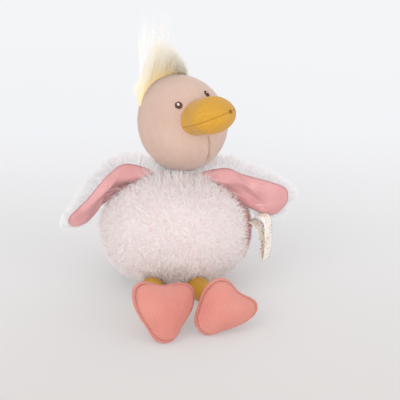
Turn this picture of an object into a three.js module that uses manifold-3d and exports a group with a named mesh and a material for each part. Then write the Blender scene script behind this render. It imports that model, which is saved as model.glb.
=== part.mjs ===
// A seated stuffed bird: covers sewn from panels, the filling inside them, and the seams that it moves at.
// Millimetres, +Z up. The origin is where the body rests on the floor, and the body faces -Y.
// Left and right are as seen from the front, so left is -X.

import * as THREE from 'three';
import { mergeVertices } from 'three/addons/utils/BufferGeometryUtils.js';
import Module from 'manifold-3d';

const wasm = await Module();
wasm.setup();

// Clearances
const SEAM_GAP = 0.3;
const PAD_SEAM_GAP = 0.6;
const FILL_GAP = 0.4;
const SOCKET_GAP = 0.5;

// Body
const BODY_WIDTH = 155;
const BODY_DEPTH = 128;
const BODY_HEIGHT = 115;
const BELLY_HEIGHT = 57.5;
const BODY_X = 2;
const BELLY_FULLNESS = 2.35;
const BASE_CUT = 0.5;
const BODY_SEAM_TURN = 6;
const BODY_FRONT_WALL = 6;
const BODY_BACK_WALL = 3;
const POUCH_WIDTH = 92;
const POUCH_DEPTH = 76;
const POUCH_HEIGHT = 34;

// Head
const HEAD_WIDTH = 89;
const HEAD_UP = 51;
const HEAD_DOWN = 44;
const HEAD_X = 9.5;
const HEAD_Y = 13;
const HEAD_TURN = 30.7;
const HEAD_PITCH = -25.2;
const HEAD_ROLL = -10;
const HEAD_WALL = 2;
const HEAD_SEAM_BACK = 5;
const CHIN_DART_DROP = 17;
const CHIN_DART_LENGTH = 20;
const NECK_RADIUS = 14;
const NECK_LENGTH = 2.5;

// Beak
const BEAK_WIDTH = 46;
const BEAK_UPPER = 20;
const BEAK_LOWER = 15;
const BEAK_LENGTH = 35;
const BEAK_DROP = 4;
const BEAK_ROOT_DEPTH = 12;
const BEAK_SEAM_SHARE = 0.7;
const BEAK_SEAM_TILT = 4;
const BEAK_WALL = 2;

// Eyes
const EYE_WIDTH = 8;
const EYE_HEIGHT = 9;
const EYE_RISE = 1;
const EYE_AZIMUTH = 24;
const EYE_ELEVATION = 27;

// Hair sewn in over the crown
const HAIR_CENTRE = -7;
const HAIR_SPAN = 37;
const HAIR_END = 4;
const HAIR_BAND = 5;
const HAIR_LOCKS = 9;
const HAIR_LENGTH = 84;
const HAIR_SIDE_LENGTH = 34;
const HAIR_LOCK_RADIUS = 6;
const HAIR_TIP_RADIUS = 1;

// Wings
const WING_ROOT_LOW = 26;
const WING_ROOT_HIGH = 68;
const WING_THICKNESS = 11;
const WING_LINING_WALL = 2;
const WING_FUR_WALL = 3;
const WING_GAP = 0.5;
const WINGS = [
  {
    name: 'wing_left',
    side: -1,
    upper: [[2, -6, 23], [-19, -12, 13], [-39, -15, -8], [-60, -11, -25]],
    lower: [[-29, 0, -21], [-38, -6, -32], [-47, -10, -38], [-58, -10, -42]],
  },
  {
    name: 'wing_right',
    side: 1,
    upper: [[-2, 3, 24], [17, 4, 17], [40, 5, 11], [62, 5, 8]],
    lower: [[29, 0, -20], [39, 3, -26], [51, 5, -27], [64, 5, -19]],
  },
];

// Legs
const LEG_ROOT_RADIUS = 12;
const LEG_CALF_RADIUS = 10;
const ANKLE_RADIUS = 10;
const LEG_WALL = 2;
const HIP_X = 21;
const HIP_HEIGHT = 19;
const HIP_OUT = 6;

// Feet
const FOOT_WIDTH = 60;
const FOOT_LENGTH = 56;
const FOOT_THICKNESS = 28;
const FOOT_NOTCH = 3;
const FOOT_HEEL_WIDTH = 16;
const FOOT_TOE_WIDTH = 37;
const FOOT_WALL = 2;
const ANKLE_UP = 4;
const ANKLE_OUT = 6.5;
const FEET = [
  { name: 'left', side: -1, heelX: -7, heelY: -136, turn: 23, recline: 34, lean: 12 },
  { name: 'right', side: 1, heelX: 26, heelY: -120, turn: 14, recline: 20, lean: 46 },
];

// Ribbon label
const LABEL_SEAM_ANGLE = 11;
const LABEL_WIDTH = 13;
const LABEL_LENGTH = 46;
const LABEL_OUT = 20;
const LABEL_THICKNESS = 0.9;
const LABEL_TURN = -38;
const LABEL_GAP = 0.8;

const COVER_STEPS = 24;
const PAD_STEPS = 24;
const RAD = Math.PI / 180;

const COLOURS = {
  curly: 0xe9d3d0,
  dusty: 0xc98f92,
  velour: 0xd8bcab,
  mustard: 0xd9a245,
  coral: 0xe58f83,
  lining: 0xdfa5a5,
  fur: 0xe6e3e0,
  hair: 0xecd9ae,
  wadding: 0xf2f0ec,
  pouch: 0xd9d2c4,
  thread: 0x4a3128,
  ribbon: 0xf1efe8,
};

// Geometry tools

function vector(values) {
  return new THREE.Vector3(values[0], values[1], values[2]);
}

function weld(geometry) {
  const bare = geometry.clone();
  bare.deleteAttribute('normal');
  bare.deleteAttribute('uv');
  const merged = mergeVertices(bare, 1e-3);
  const kept = [];
  const corners = merged.index.array;
  for (let i = 0; i < corners.length; i += 3) {
    const [a, b, c] = [corners[i], corners[i + 1], corners[i + 2]];
    if (a !== b && b !== c && c !== a) {
      kept.push(a, b, c);
    }
  }
  merged.setIndex(kept);
  return merged;
}

function solidOf(geometry) {
  const welded = weld(geometry);
  return new wasm.Manifold(new wasm.Mesh({
    numProp: 3,
    vertProperties: Float32Array.from(welded.attributes.position.array),
    triVerts: Uint32Array.from(welded.index.array),
  }));
}

function geometryOf(solid) {
  const mesh = solid.getMesh();
  const geometry = new THREE.BufferGeometry();
  geometry.setAttribute('position', new THREE.BufferAttribute(mesh.vertProperties, 3));
  geometry.setIndex(new THREE.BufferAttribute(mesh.triVerts, 1));
  geometry.computeVertexNormals();
  return geometry;
}

// A closed body through a list of rings, whose first and last rings may be single points.
function loft(rings) {
  const positions = [];
  const starts = [];
  for (const ring of rings) {
    starts.push(positions.length / 3);
    ring.forEach((point) => positions.push(point.x, point.y, point.z));
  }
  const index = [];
  for (let k = 0; k + 1 < rings.length; k += 1) {
    const count = Math.max(rings[k].length, rings[k + 1].length);
    for (let i = 0; i < count; i += 1) {
      const next = (i + 1) % count;
      const a = starts[k] + (rings[k].length > 1 ? i : 0);
      const b = starts[k] + (rings[k].length > 1 ? next : 0);
      const c = starts[k + 1] + (rings[k + 1].length > 1 ? i : 0);
      const d = starts[k + 1] + (rings[k + 1].length > 1 ? next : 0);
      if (a !== b) {
        index.push(a, b, d);
      }
      if (c !== d) {
        index.push(a, d, c);
      }
    }
  }
  const geometry = new THREE.BufferGeometry();
  geometry.setAttribute('position', new THREE.Float32BufferAttribute(positions, 3));
  geometry.setIndex(volumeOf(positions, index) < 0 ? index.reverse() : index);
  geometry.computeVertexNormals();
  return geometry;
}

function volumeOf(positions, index) {
  const corner = (i) => vector(positions.slice(index[i] * 3, index[i] * 3 + 3));
  let volume = 0;
  for (let i = 0; i < index.length; i += 3) {
    volume += corner(i).dot(corner(i + 1).cross(corner(i + 2))) / 6;
  }
  return volume;
}

function ball(radius, centre) {
  const geometry = new THREE.SphereGeometry(radius, 20, 12);
  geometry.translate(centre.x, centre.y, centre.z);
  return solidOf(geometry);
}

// A box that reaches far past the part, from a face at the origin towards +Z of its own frame.
function halfSpace(origin, outward) {
  const reach = 600;
  const geometry = new THREE.BoxGeometry(reach, reach, reach);
  geometry.translate(0, 0, reach / 2);
  geometry.applyQuaternion(new THREE.Quaternion().setFromUnitVectors(new THREE.Vector3(0, 0, 1), outward));
  geometry.translate(origin.x, origin.y, origin.z);
  return solidOf(geometry);
}

// The two sides of a seam plane through a point, each held back by half of the seam's gap.
function parted(solid, point, normal) {
  const shift = normal.clone().multiplyScalar(SEAM_GAP / 2);
  const ahead = solid.intersect(halfSpace(point.clone().add(shift), normal));
  const behind = solid.intersect(halfSpace(point.clone().sub(shift), normal.clone().negate()));
  return [ahead, behind];
}

function named(name, geometry, colour, roughness) {
  const material = new THREE.MeshStandardMaterial({ color: colour, roughness, metalness: 0 });
  const mesh = new THREE.Mesh(geometry, material);
  mesh.name = name;
  return mesh;
}

// A stuffed round form, revolved about Z and squeezed along Y, that is fuller or flatter in its lower half.
function stuffed(width, depth, up, down, fullness) {
  const profile = [];
  const steps = 14;
  for (let k = 0; k <= steps; k += 1) {
    const angle = (k / steps - 0.5) * Math.PI;
    const power = 2 / (angle < 0 ? fullness : 2);
    const radius = (width / 2) * Math.max(Math.cos(angle), 0) ** power;
    const height = angle < 0 ? -down * Math.abs(Math.sin(angle)) ** power : up * Math.sin(angle);
    profile.push(new THREE.Vector2(k % steps === 0 ? 0 : radius, height));
  }
  const geometry = new THREE.LatheGeometry(profile, COVER_STEPS);
  geometry.rotateX(Math.PI / 2);
  geometry.scale(1, depth / width, 1);
  return geometry;
}

// Body

function bodyForm(inset) {
  const geometry = stuffed(
    BODY_WIDTH - 2 * inset,
    BODY_DEPTH - 2 * inset,
    BODY_HEIGHT - BELLY_HEIGHT - inset,
    BELLY_HEIGHT + BASE_CUT - inset,
    BELLY_FULLNESS,
  );
  geometry.translate(BODY_X, 0, BELLY_HEIGHT);
  return solidOf(geometry);
}

// A point on the side seam, at an angle above the body's widest level.
function onSideSeam(side, degrees, outward) {
  const turn = BODY_SEAM_TURN * RAD;
  const across = new THREE.Vector3(side * Math.cos(turn), -side * Math.sin(turn), 0);
  const reach = 1 / Math.hypot(across.x / (BODY_WIDTH / 2), across.y / (BODY_DEPTH / 2));
  const rise = BODY_HEIGHT - BELLY_HEIGHT;
  const flat = reach * Math.cos(degrees * RAD);
  const high = rise * Math.sin(degrees * RAD);
  const point = across.clone().multiplyScalar(flat);
  point.z = high;
  const normal = across.clone().multiplyScalar(flat / reach ** 2);
  normal.z = high / rise ** 2;
  normal.normalize();
  point.add(new THREE.Vector3(BODY_X, 0, BELLY_HEIGHT));
  return point.addScaledVector(normal, outward);
}

// The body with a clearance, as a cutter in the frame of a group that is sewn to it.
function trunkFor(group, gap) {
  group.updateMatrixWorld(true);
  return solidOf(geometryOf(bodyForm(-gap)).applyMatrix4(group.matrixWorld.clone().invert()));
}

const seamFacing = new THREE.Vector3(-Math.sin(BODY_SEAM_TURN * RAD), -Math.cos(BODY_SEAM_TURN * RAD), 0);
const bodyCentre = new THREE.Vector3(BODY_X, 0, BELLY_HEIGHT);

// How high the top of the body is over a spot.
function bodyTop(x, y) {
  const share = Math.hypot((x - BODY_X) / (BODY_WIDTH / 2), y / (BODY_DEPTH / 2));
  return BELLY_HEIGHT + (BODY_HEIGHT - BELLY_HEIGHT) * Math.sqrt(1 - share ** 2);
}

// A point on the lower front of the body, held out along its normal.
function onLowerFront(x, height, outward) {
  const half = new THREE.Vector3(BODY_WIDTH / 2, BODY_DEPTH / 2, BELLY_HEIGHT + BASE_CUT);
  const offset = new THREE.Vector3(x, 0, height - BELLY_HEIGHT);
  const level = (1 - (Math.abs(offset.z) / half.z) ** BELLY_FULLNESS) ** (1 / BELLY_FULLNESS);
  offset.y = -half.y * Math.sqrt(level ** 2 - (offset.x / half.x) ** 2);
  const normal = new THREE.Vector3(
    offset.x / half.x ** 2,
    offset.y / half.y ** 2,
    offset.z / half.z ** 2,
  ).normalize();
  return offset.add(bodyCentre).addScaledVector(normal, outward);
}

// Head frame: -Y is the way that the beak points and +Z is the crown.

const head = new THREE.Group();
head.name = 'head';
const neckHeight = bodyTop(HEAD_X, HEAD_Y) + NECK_LENGTH / 2;
head.position.set(HEAD_X, HEAD_Y, neckHeight + NECK_LENGTH / 2 + HEAD_DOWN);
head.rotation.set(HEAD_PITCH * RAD, HEAD_ROLL * RAD, HEAD_TURN * RAD, 'ZXY');
head.updateMatrixWorld(true);

const neck = new THREE.Group();
neck.name = 'neck';
neck.position.set(HEAD_X, HEAD_Y, neckHeight);

const hips = [];
for (const foot of FEET) {
  hips.push(onLowerFront(foot.side * HIP_X, HIP_HEIGHT, HIP_OUT));
}

function makeBody() {
  const sockets = [ball(NECK_RADIUS + SOCKET_GAP, neck.position)];
  hips.forEach((hip) => sockets.push(ball(LEG_ROOT_RADIUS + SOCKET_GAP, hip)));
  const opened = (solid) => sockets.reduce((rest, socket) => rest.subtract(socket), solid);
  const floor = halfSpace(new THREE.Vector3(0, 0, 0), new THREE.Vector3(0, 0, 1));
  const whole = bodyForm(0).intersect(floor);
  const frontCover = whole.subtract(bodyForm(BODY_FRONT_WALL));
  const backCover = whole.subtract(bodyForm(BODY_BACK_WALL));
  const front = parted(frontCover, bodyCentre, seamFacing)[0];
  const back = parted(backCover, bodyCentre, seamFacing)[1];

  const pouchForm = (grow) => {
    const geometry = new THREE.SphereGeometry(0.5, 20, 12);
    geometry.rotateX(Math.PI / 2);
    geometry.scale(POUCH_WIDTH + 2 * grow, POUCH_DEPTH + 2 * grow, 2 * (POUCH_HEIGHT + grow));
    geometry.translate(BODY_X, 0, BODY_FRONT_WALL);
    return solidOf(geometry);
  };
  const inside = bodyForm(BODY_FRONT_WALL + FILL_GAP);
  const pouch = inside.intersect(pouchForm(0));
  const filling = opened(inside.subtract(pouchForm(FILL_GAP)));
  const group = new THREE.Group();
  group.name = 'body';
  group.add(
    named('body_front', geometryOf(opened(front)), COLOURS.curly, 1),
    named('body_back', geometryOf(opened(back)), COLOURS.dusty, 0.95),
    named('body_filling', geometryOf(filling), COLOURS.wadding, 1),
    named('pellet_pouch', geometryOf(pouch), COLOURS.pouch, 0.9),
  );
  return group;
}

function headForm(inset) {
  return solidOf(stuffed(HEAD_WIDTH - 2 * inset, HEAD_WIDTH - 2 * inset, HEAD_UP - inset, HEAD_DOWN - inset, 2));
}

// A point on the head, at an angle round from the beak and an angle above it, with the way out of the surface.
function onHead(azimuth, elevation) {
  const flat = Math.cos(elevation * RAD);
  const direction = new THREE.Vector3(
    Math.sin(azimuth * RAD) * flat,
    -Math.cos(azimuth * RAD) * flat,
    Math.sin(elevation * RAD),
  );
  const rise = direction.z > 0 ? HEAD_UP : HEAD_DOWN;
  const scale = 1 / Math.hypot(direction.x / (HEAD_WIDTH / 2), direction.y / (HEAD_WIDTH / 2), direction.z / rise);
  const point = direction.clone().multiplyScalar(scale);
  const normal = new THREE.Vector3(
    point.x / (HEAD_WIDTH / 2) ** 2,
    point.y / (HEAD_WIDTH / 2) ** 2,
    point.z / rise ** 2,
  ).normalize();
  return { point, normal };
}

function makeHead() {
  const socket = ball(NECK_RADIUS + SOCKET_GAP, head.worldToLocal(neck.position.clone()));
  const cover = headForm(0).subtract(headForm(HEAD_WALL)).subtract(socket);
  const seam = new THREE.Vector3(0, HEAD_SEAM_BACK, 0);
  const [back, front] = parted(cover, seam, new THREE.Vector3(0, 1, 0));
  const dart = new THREE.BoxGeometry(SEAM_GAP, HEAD_WIDTH, CHIN_DART_LENGTH);
  dart.translate(0, -HEAD_WIDTH / 2, -CHIN_DART_DROP - CHIN_DART_LENGTH / 2);
  const filling = headForm(HEAD_WALL + FILL_GAP).subtract(socket);
  head.add(
    named('head_front', geometryOf(front.subtract(solidOf(dart))), COLOURS.velour, 0.95),
    named('head_back', geometryOf(back), COLOURS.velour, 0.95),
    named('head_filling', geometryOf(filling), COLOURS.wadding, 1),
  );
}

// The bill is a loft of ovals along -Y that swells and then rounds off, with a deeper upper half.
function beakForm(inset) {
  const rings = [];
  const steps = 7;
  const start = HEAD_WIDTH / 2 - BEAK_ROOT_DEPTH;
  const end = HEAD_WIDTH / 2 + BEAK_LENGTH - inset;
  for (let k = 0; k < steps; k += 1) {
    const share = Math.sin((k / steps) * Math.PI / 2);
    const forward = start + (end - start) * share;
    const size = (1 - share ** 3.4) ** 0.5;
    const sink = BEAK_DROP * share ** 2;
    rings.push(oval(forward, size, sink, inset));
  }
  rings.unshift([new THREE.Vector3(0, -start, 0)]);
  rings.push([new THREE.Vector3(0, -end, -BEAK_DROP)]);
  return solidOf(loft(rings));
}

function oval(forward, size, sink, inset) {
  const sides = 20;
  return Array.from({ length: sides }, (unused, i) => {
    const angle = (i / sides) * 2 * Math.PI;
    const height = (Math.sin(angle) > 0 ? BEAK_UPPER : BEAK_LOWER) - inset;
    const x = (BEAK_WIDTH / 2 - inset) * Math.cos(angle) * size;
    return new THREE.Vector3(x, -forward, height * Math.sin(angle) * size - sink);
  });
}

function makeBeak() {
  const skull = headForm(-SEAM_GAP);
  const cover = beakForm(0).subtract(beakForm(BEAK_WALL)).subtract(skull);
  const tilt = new THREE.Vector3(0, Math.sin(BEAK_SEAM_TILT * RAD), Math.cos(BEAK_SEAM_TILT * RAD));
  const [upper, lower] = parted(cover, new THREE.Vector3(0, 0, -BEAK_DROP * BEAK_SEAM_SHARE), tilt);
  const filling = beakForm(BEAK_WALL + FILL_GAP).subtract(skull);
  head.add(
    named('beak_upper', geometryOf(upper), COLOURS.mustard, 0.95),
    named('beak_lower', geometryOf(lower), COLOURS.mustard, 0.95),
    named('beak_filling', geometryOf(filling), COLOURS.wadding, 1),
  );
}

// An embroidered eye: a low dome of thread, laid on the cover.
function makeEyes() {
  for (const side of [-1, 1]) {
    const { point, normal } = onHead(side * EYE_AZIMUTH, EYE_ELEVATION);
    const profile = [
      new THREE.Vector2(0, 0),
      new THREE.Vector2(0.5, 0),
      new THREE.Vector2(0.46, 0.7 * EYE_RISE),
      new THREE.Vector2(0.25, EYE_RISE),
      new THREE.Vector2(0, EYE_RISE),
    ];
    const geometry = new THREE.LatheGeometry(profile, 16);
    geometry.rotateX(Math.PI / 2);
    geometry.scale(EYE_WIDTH, EYE_HEIGHT, 1);
    const turn = new THREE.Quaternion().setFromUnitVectors(new THREE.Vector3(0, 0, 1), normal);
    geometry.applyQuaternion(turn);
    geometry.translate(point.x, point.y, point.z);
    const eye = solidOf(geometry).subtract(headForm(-SEAM_GAP));
    head.add(named(side < 0 ? 'eye_left' : 'eye_right', geometryOf(eye), COLOURS.thread, 0.7));
  }
}

// The long hair is a band that follows the seam over the crown, with tapering locks that stand straight up.
function makeHair() {
  const upright = new THREE.Vector3(0, 0, 1).applyQuaternion(head.quaternion.clone().invert());
  const ringWidth = Math.sqrt(1 - (HEAD_SEAM_BACK / (HEAD_WIDTH / 2)) ** 2);
  const onCrown = (degrees, height) => new THREE.Vector3(
    Math.sin((degrees + HAIR_CENTRE) * RAD) * ((HEAD_WIDTH / 2) * ringWidth + height),
    HEAD_SEAM_BACK,
    Math.cos((degrees + HAIR_CENTRE) * RAD) * (HEAD_UP * ringWidth + height),
  );
  const steps = 12;
  const bandRings = [];
  for (let k = 0; k <= steps; k += 1) {
    const degrees = (k / steps - 0.5) * 2 * HAIR_SPAN;
    const low = onCrown(degrees, -1);
    const high = onCrown(degrees, HAIR_BAND);
    const half = new THREE.Vector3(0, HAIR_BAND / 2, 0);
    bandRings.push([low.clone().sub(half), low.clone().add(half), high.clone().add(half), high.clone().sub(half)]);
  }
  bandRings.unshift([bandRings[0].reduce((sum, p) => sum.add(p), new THREE.Vector3()).multiplyScalar(0.25)]);
  const last = bandRings[bandRings.length - 1];
  bandRings.push([last.reduce((sum, p) => sum.add(p), new THREE.Vector3()).multiplyScalar(0.25)]);
  let hair = solidOf(loft(bandRings));

  for (let i = 0; i < HAIR_LOCKS; i += 1) {
    const place = (i / (HAIR_LOCKS - 1)) * 2 - 1;
    const root = onCrown(place * (HAIR_SPAN - HAIR_END), 1);
    const away = onCrown(place * HAIR_SPAN, 1).normalize();
    const length = HAIR_SIDE_LENGTH + (HAIR_LENGTH - HAIR_SIDE_LENGTH) * Math.cos(place * 1.35) ** 1.5;
    const lean = upright.clone().multiplyScalar(0.86).addScaledVector(away, 0.14);
    const middle = root.clone().addScaledVector(away, length * 0.3).addScaledVector(upright, length * 0.2);
    const tip = root.clone().addScaledVector(lean, length);
    const curve = new THREE.QuadraticBezierCurve3(root, middle, tip);
    hair = hair.add(solidOf(lock(curve)));
  }
  const trimmed = hair.subtract(headForm(-SEAM_GAP));
  head.add(named('hair_tuft', geometryOf(trimmed), COLOURS.hair, 0.9));
}

function lock(curve) {
  const steps = 4;
  const sides = 5;
  const rings = [[curve.getPoint(0)]];
  for (let k = 0; k <= steps; k += 1) {
    const share = k / steps;
    const centre = curve.getPoint(share);
    const along = curve.getTangent(share);
    const side = new THREE.Vector3(0, 1, 0).cross(along).normalize();
    const front = along.clone().cross(side);
    const radius = HAIR_TIP_RADIUS + (HAIR_LOCK_RADIUS - HAIR_TIP_RADIUS) * (1 - share) ** 0.8;
    rings.push(Array.from({ length: sides }, (unused, i) => {
      const angle = (i / sides) * 2 * Math.PI;
      return centre.clone()
        .addScaledVector(side, Math.cos(angle) * radius)
        .addScaledVector(front, Math.sin(angle) * radius * 0.8);
    }));
  }
  rings.push([curve.getPoint(1)]);
  return loft(rings);
}

// Padded flat pieces: an outline round 0,0 that swells on both sides between its sewn edges. A pad holds the
// outline, its half thickness, the walls of its two covers and the way from a flat spot and height to space.

// How far the pad stands off its middle plane, where share is 0 at the centre and 1 at the edge.
function swell(share) {
  return Math.max(1 - share ** 2.4, 0) ** 0.62;
}

// The least distance from the pad's centre to its edge.
function padReach(pad) {
  const centre = pad.place(new THREE.Vector2(0, 0), 0);
  return Math.min(...pad.outline.map((point) => pad.place(point, 0).distanceTo(centre)));
}

function padRing(pad, share, height) {
  if (share === 0) {
    return [pad.place(new THREE.Vector2(0, 0), height)];
  }
  return pad.outline.map((point) => pad.place(point.clone().multiplyScalar(share), height));
}

// One sewn cover panel of a pad, on side 1 or -1 of its middle plane.
function padPanel(pad, side) {
  const wall = pad.walls[side > 0 ? 0 : 1];
  const edge = (Math.max(...pad.walls) * 1.5) / padReach(pad);
  const rings = [];
  const addRing = (share, shrink, half) => {
    const height = PAD_SEAM_GAP / 2 + half * swell(share);
    rings.push(padRing(pad, share * shrink, side * height));
  };
  const outer = 5;
  for (let k = 0; k <= outer; k += 1) {
    addRing(Math.sin((k / outer) * Math.PI / 2), 1, pad.half);
  }
  const inner = 4;
  for (let k = inner; k >= 0; k -= 1) {
    addRing(Math.sin((k / inner) * Math.PI / 2), 1 - edge, pad.half - wall);
  }
  return loft(rings);
}

function padFilling(pad) {
  const steps = 5;
  const edge = (Math.max(...pad.walls) * 1.5 + FILL_GAP * 2) / padReach(pad);
  const rings = [];
  const addRing = (k, side) => {
    const share = Math.sin((k / steps) * Math.PI / 2);
    const half = pad.half - pad.walls[side > 0 ? 0 : 1] - FILL_GAP;
    rings.push(padRing(pad, share * (1 - edge), side * half * swell(share)));
  };
  for (let k = 0; k <= steps; k += 1) {
    addRing(k, 1);
  }
  for (let k = steps - 1; k >= 0; k -= 1) {
    addRing(k, -1);
  }
  return loft(rings);
}

// Wings: the flat outline runs from the sewn root at x = -1 to the round tip at x = 1.

function wingOutline() {
  return Array.from({ length: PAD_STEPS }, (unused, i) => {
    const angle = (i / PAD_STEPS) * 2 * Math.PI;
    const x = Math.cos(angle);
    const y = Math.sin(angle);
    const power = x > 0 ? 2.3 : 7;
    const scale = 1 / (Math.abs(x) ** power + Math.abs(y) ** power) ** (1 / power);
    return new THREE.Vector2(x * scale, y * scale);
  });
}

function makeWing(wing) {
  const low = onSideSeam(wing.side, WING_ROOT_LOW, WING_GAP);
  const high = onSideSeam(wing.side, WING_ROOT_HIGH, WING_GAP);
  const middle = onSideSeam(wing.side, (WING_ROOT_LOW + WING_ROOT_HIGH) / 2, WING_GAP);
  const group = new THREE.Group();
  group.name = wing.name;
  group.position.copy(low).add(high).multiplyScalar(0.5);
  const bulge = middle.sub(group.position);
  const edge = (end, points) => new THREE.CatmullRomCurve3([
    end.clone().sub(group.position),
    ...points.map(vector),
  ]);
  const upper = edge(high, wing.upper);
  const lower = edge(low, wing.lower);
  const onSheet = (x, y) => {
    const along = (x + 1) / 2;
    const point = lower.getPointAt(along).lerp(upper.getPointAt(along), (y + 1) / 2);
    return point.addScaledVector(bulge, (1 - y * y) * (1 - along) ** 4);
  };
  const place = (spot, height) => {
    const step = 0.02;
    const x = Math.min(Math.max(spot.x, step - 1), 1 - step);
    const along = onSheet(x + step, spot.y).sub(onSheet(x - step, spot.y));
    const across = onSheet(x, spot.y + step).sub(onSheet(x, spot.y - step));
    const front = along.cross(across).normalize().multiplyScalar(wing.side);
    return onSheet(spot.x, spot.y).addScaledVector(front, height);
  };
  const walls = [WING_LINING_WALL, WING_FUR_WALL];
  const pad = { outline: wingOutline(), half: WING_THICKNESS / 2, walls, place };
  const trimmed = (geometry) => geometryOf(solidOf(geometry).subtract(trunkFor(group, WING_GAP)));
  group.add(
    named(`${wing.name}_lining`, trimmed(padPanel(pad, 1)), COLOURS.lining, 0.9),
    named(`${wing.name}_fur`, trimmed(padPanel(pad, -1)), COLOURS.fur, 1),
    named(`${wing.name}_wadding`, trimmed(padFilling(pad)), COLOURS.wadding, 1),
  );
  return group;
}

// Feet: a heart whose point is the heel. In the foot's frame +Z is the sole, +Y the toes and 0 the ankle.

function heart() {
  const half = FOOT_WIDTH / 2;
  const top = FOOT_LENGTH / 2;
  const shape = new THREE.Shape();
  const notch = top - FOOT_NOTCH;
  const heel = FOOT_HEEL_WIDTH / 2;
  const toe = FOOT_TOE_WIDTH / 2;
  shape.moveTo(0, -top);
  shape.bezierCurveTo(heel, -top, heel * 1.4, -top * 0.86, heel * 1.9, -top * 0.56);
  shape.bezierCurveTo(half * 0.76, -top * 0.12, half, top * 0.15, half, top * 0.57);
  shape.bezierCurveTo(half, top * 0.87, half * 0.92, top, toe, top);
  shape.bezierCurveTo(toe * 0.6, top, half * 0.25, notch, 0, notch);
  const right = shape.getSpacedPoints(PAD_STEPS / 2);
  const left = right.slice(1, -1).reverse().map((point) => new THREE.Vector2(-point.x, point.y));
  return [...right, ...left];
}

function makeFoot(foot) {
  const group = new THREE.Group();
  group.name = `foot_${foot.name}`;
  const turn = new THREE.Quaternion().setFromAxisAngle(new THREE.Vector3(0, 0, 1), foot.turn * RAD);
  const upright = new THREE.Quaternion().setFromAxisAngle(new THREE.Vector3(1, 0, 0), (90 - foot.recline) * RAD);
  const lean = new THREE.Quaternion().setFromAxisAngle(new THREE.Vector3(0, 0, 1), -foot.lean * RAD);
  group.quaternion.copy(turn).multiply(upright).multiply(lean);

  const depth = FOOT_THICKNESS / 2 + ANKLE_OUT;
  const place = (spot, height) => new THREE.Vector3(spot.x, spot.y - ANKLE_UP, height + depth);
  const pad = { outline: heart(), half: FOOT_THICKNESS / 2, walls: [FOOT_WALL, FOOT_WALL], place };
  const sole = padPanel(pad, 1);
  const top = padPanel(pad, -1);
  const filling = padFilling(pad);
  const socket = ball(ANKLE_RADIUS + SOCKET_GAP, new THREE.Vector3());
  const opened = (geometry) => geometryOf(solidOf(geometry).subtract(socket));

  const heel = place(new THREE.Vector2(0, -FOOT_LENGTH / 2), 0).applyQuaternion(group.quaternion);
  const lowest = [sole, top].map((geometry) => {
    const turned = geometry.clone().applyQuaternion(group.quaternion);
    turned.computeBoundingBox();
    return turned.boundingBox.min.z;
  });
  group.position.set(foot.heelX - heel.x, foot.heelY - heel.y, -Math.min(...lowest));
  group.add(
    named(`foot_${foot.name}_sole`, geometryOf(solidOf(sole)), COLOURS.coral, 0.95),
    named(`foot_${foot.name}_top`, opened(top), COLOURS.coral, 0.95),
    named(`foot_${foot.name}_filling`, opened(filling), COLOURS.wadding, 1),
  );
  return group;
}

// Legs: a round tube from the hip to the ankle that swells at both ends. In its frame +Z runs to the ankle.

function legProfile(length, inset) {
  const points = [];
  const arc = 5;
  for (let k = 0; k <= arc; k += 1) {
    const angle = (k / arc) * 80 * RAD;
    const radius = LEG_ROOT_RADIUS - inset;
    points.push(new THREE.Vector2(radius * Math.sin(angle), -radius * Math.cos(angle)));
  }
  points.push(new THREE.Vector2(LEG_CALF_RADIUS - inset, length * 0.55));
  for (let k = arc; k >= 0; k -= 1) {
    const angle = (k / arc) * 90 * RAD;
    const radius = ANKLE_RADIUS - inset;
    points.push(new THREE.Vector2(k === 0 ? 0 : radius * Math.sin(angle), length + radius * Math.cos(angle)));
  }
  return points;
}

function makeLeg(foot, hip, ankle) {
  const group = new THREE.Group();
  group.name = `leg_${foot.name}`;
  group.position.copy(hip);
  const along = ankle.clone().sub(hip);
  const length = along.length();
  group.quaternion.setFromUnitVectors(new THREE.Vector3(0, 0, 1), along.clone().normalize());
  const sides = 14;
  const standing = (profile) => solidOf(new THREE.LatheGeometry(profile, sides).rotateX(Math.PI / 2));
  const mouth = 2;
  const outer = legProfile(length, 0).slice(mouth);
  const inner = legProfile(length, LEG_WALL).slice(mouth).reverse();
  const cover = standing([...outer, ...inner, outer[0]]);
  const filling = standing(legProfile(length, LEG_WALL + FILL_GAP));
  group.add(
    named(`leg_${foot.name}_cover`, geometryOf(cover), COLOURS.mustard, 0.95),
    named(`leg_${foot.name}_filling`, geometryOf(filling), COLOURS.wadding, 1),
  );
  return group;
}

// The label is a folded ribbon whose two ends are caught in the side seam.

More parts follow.
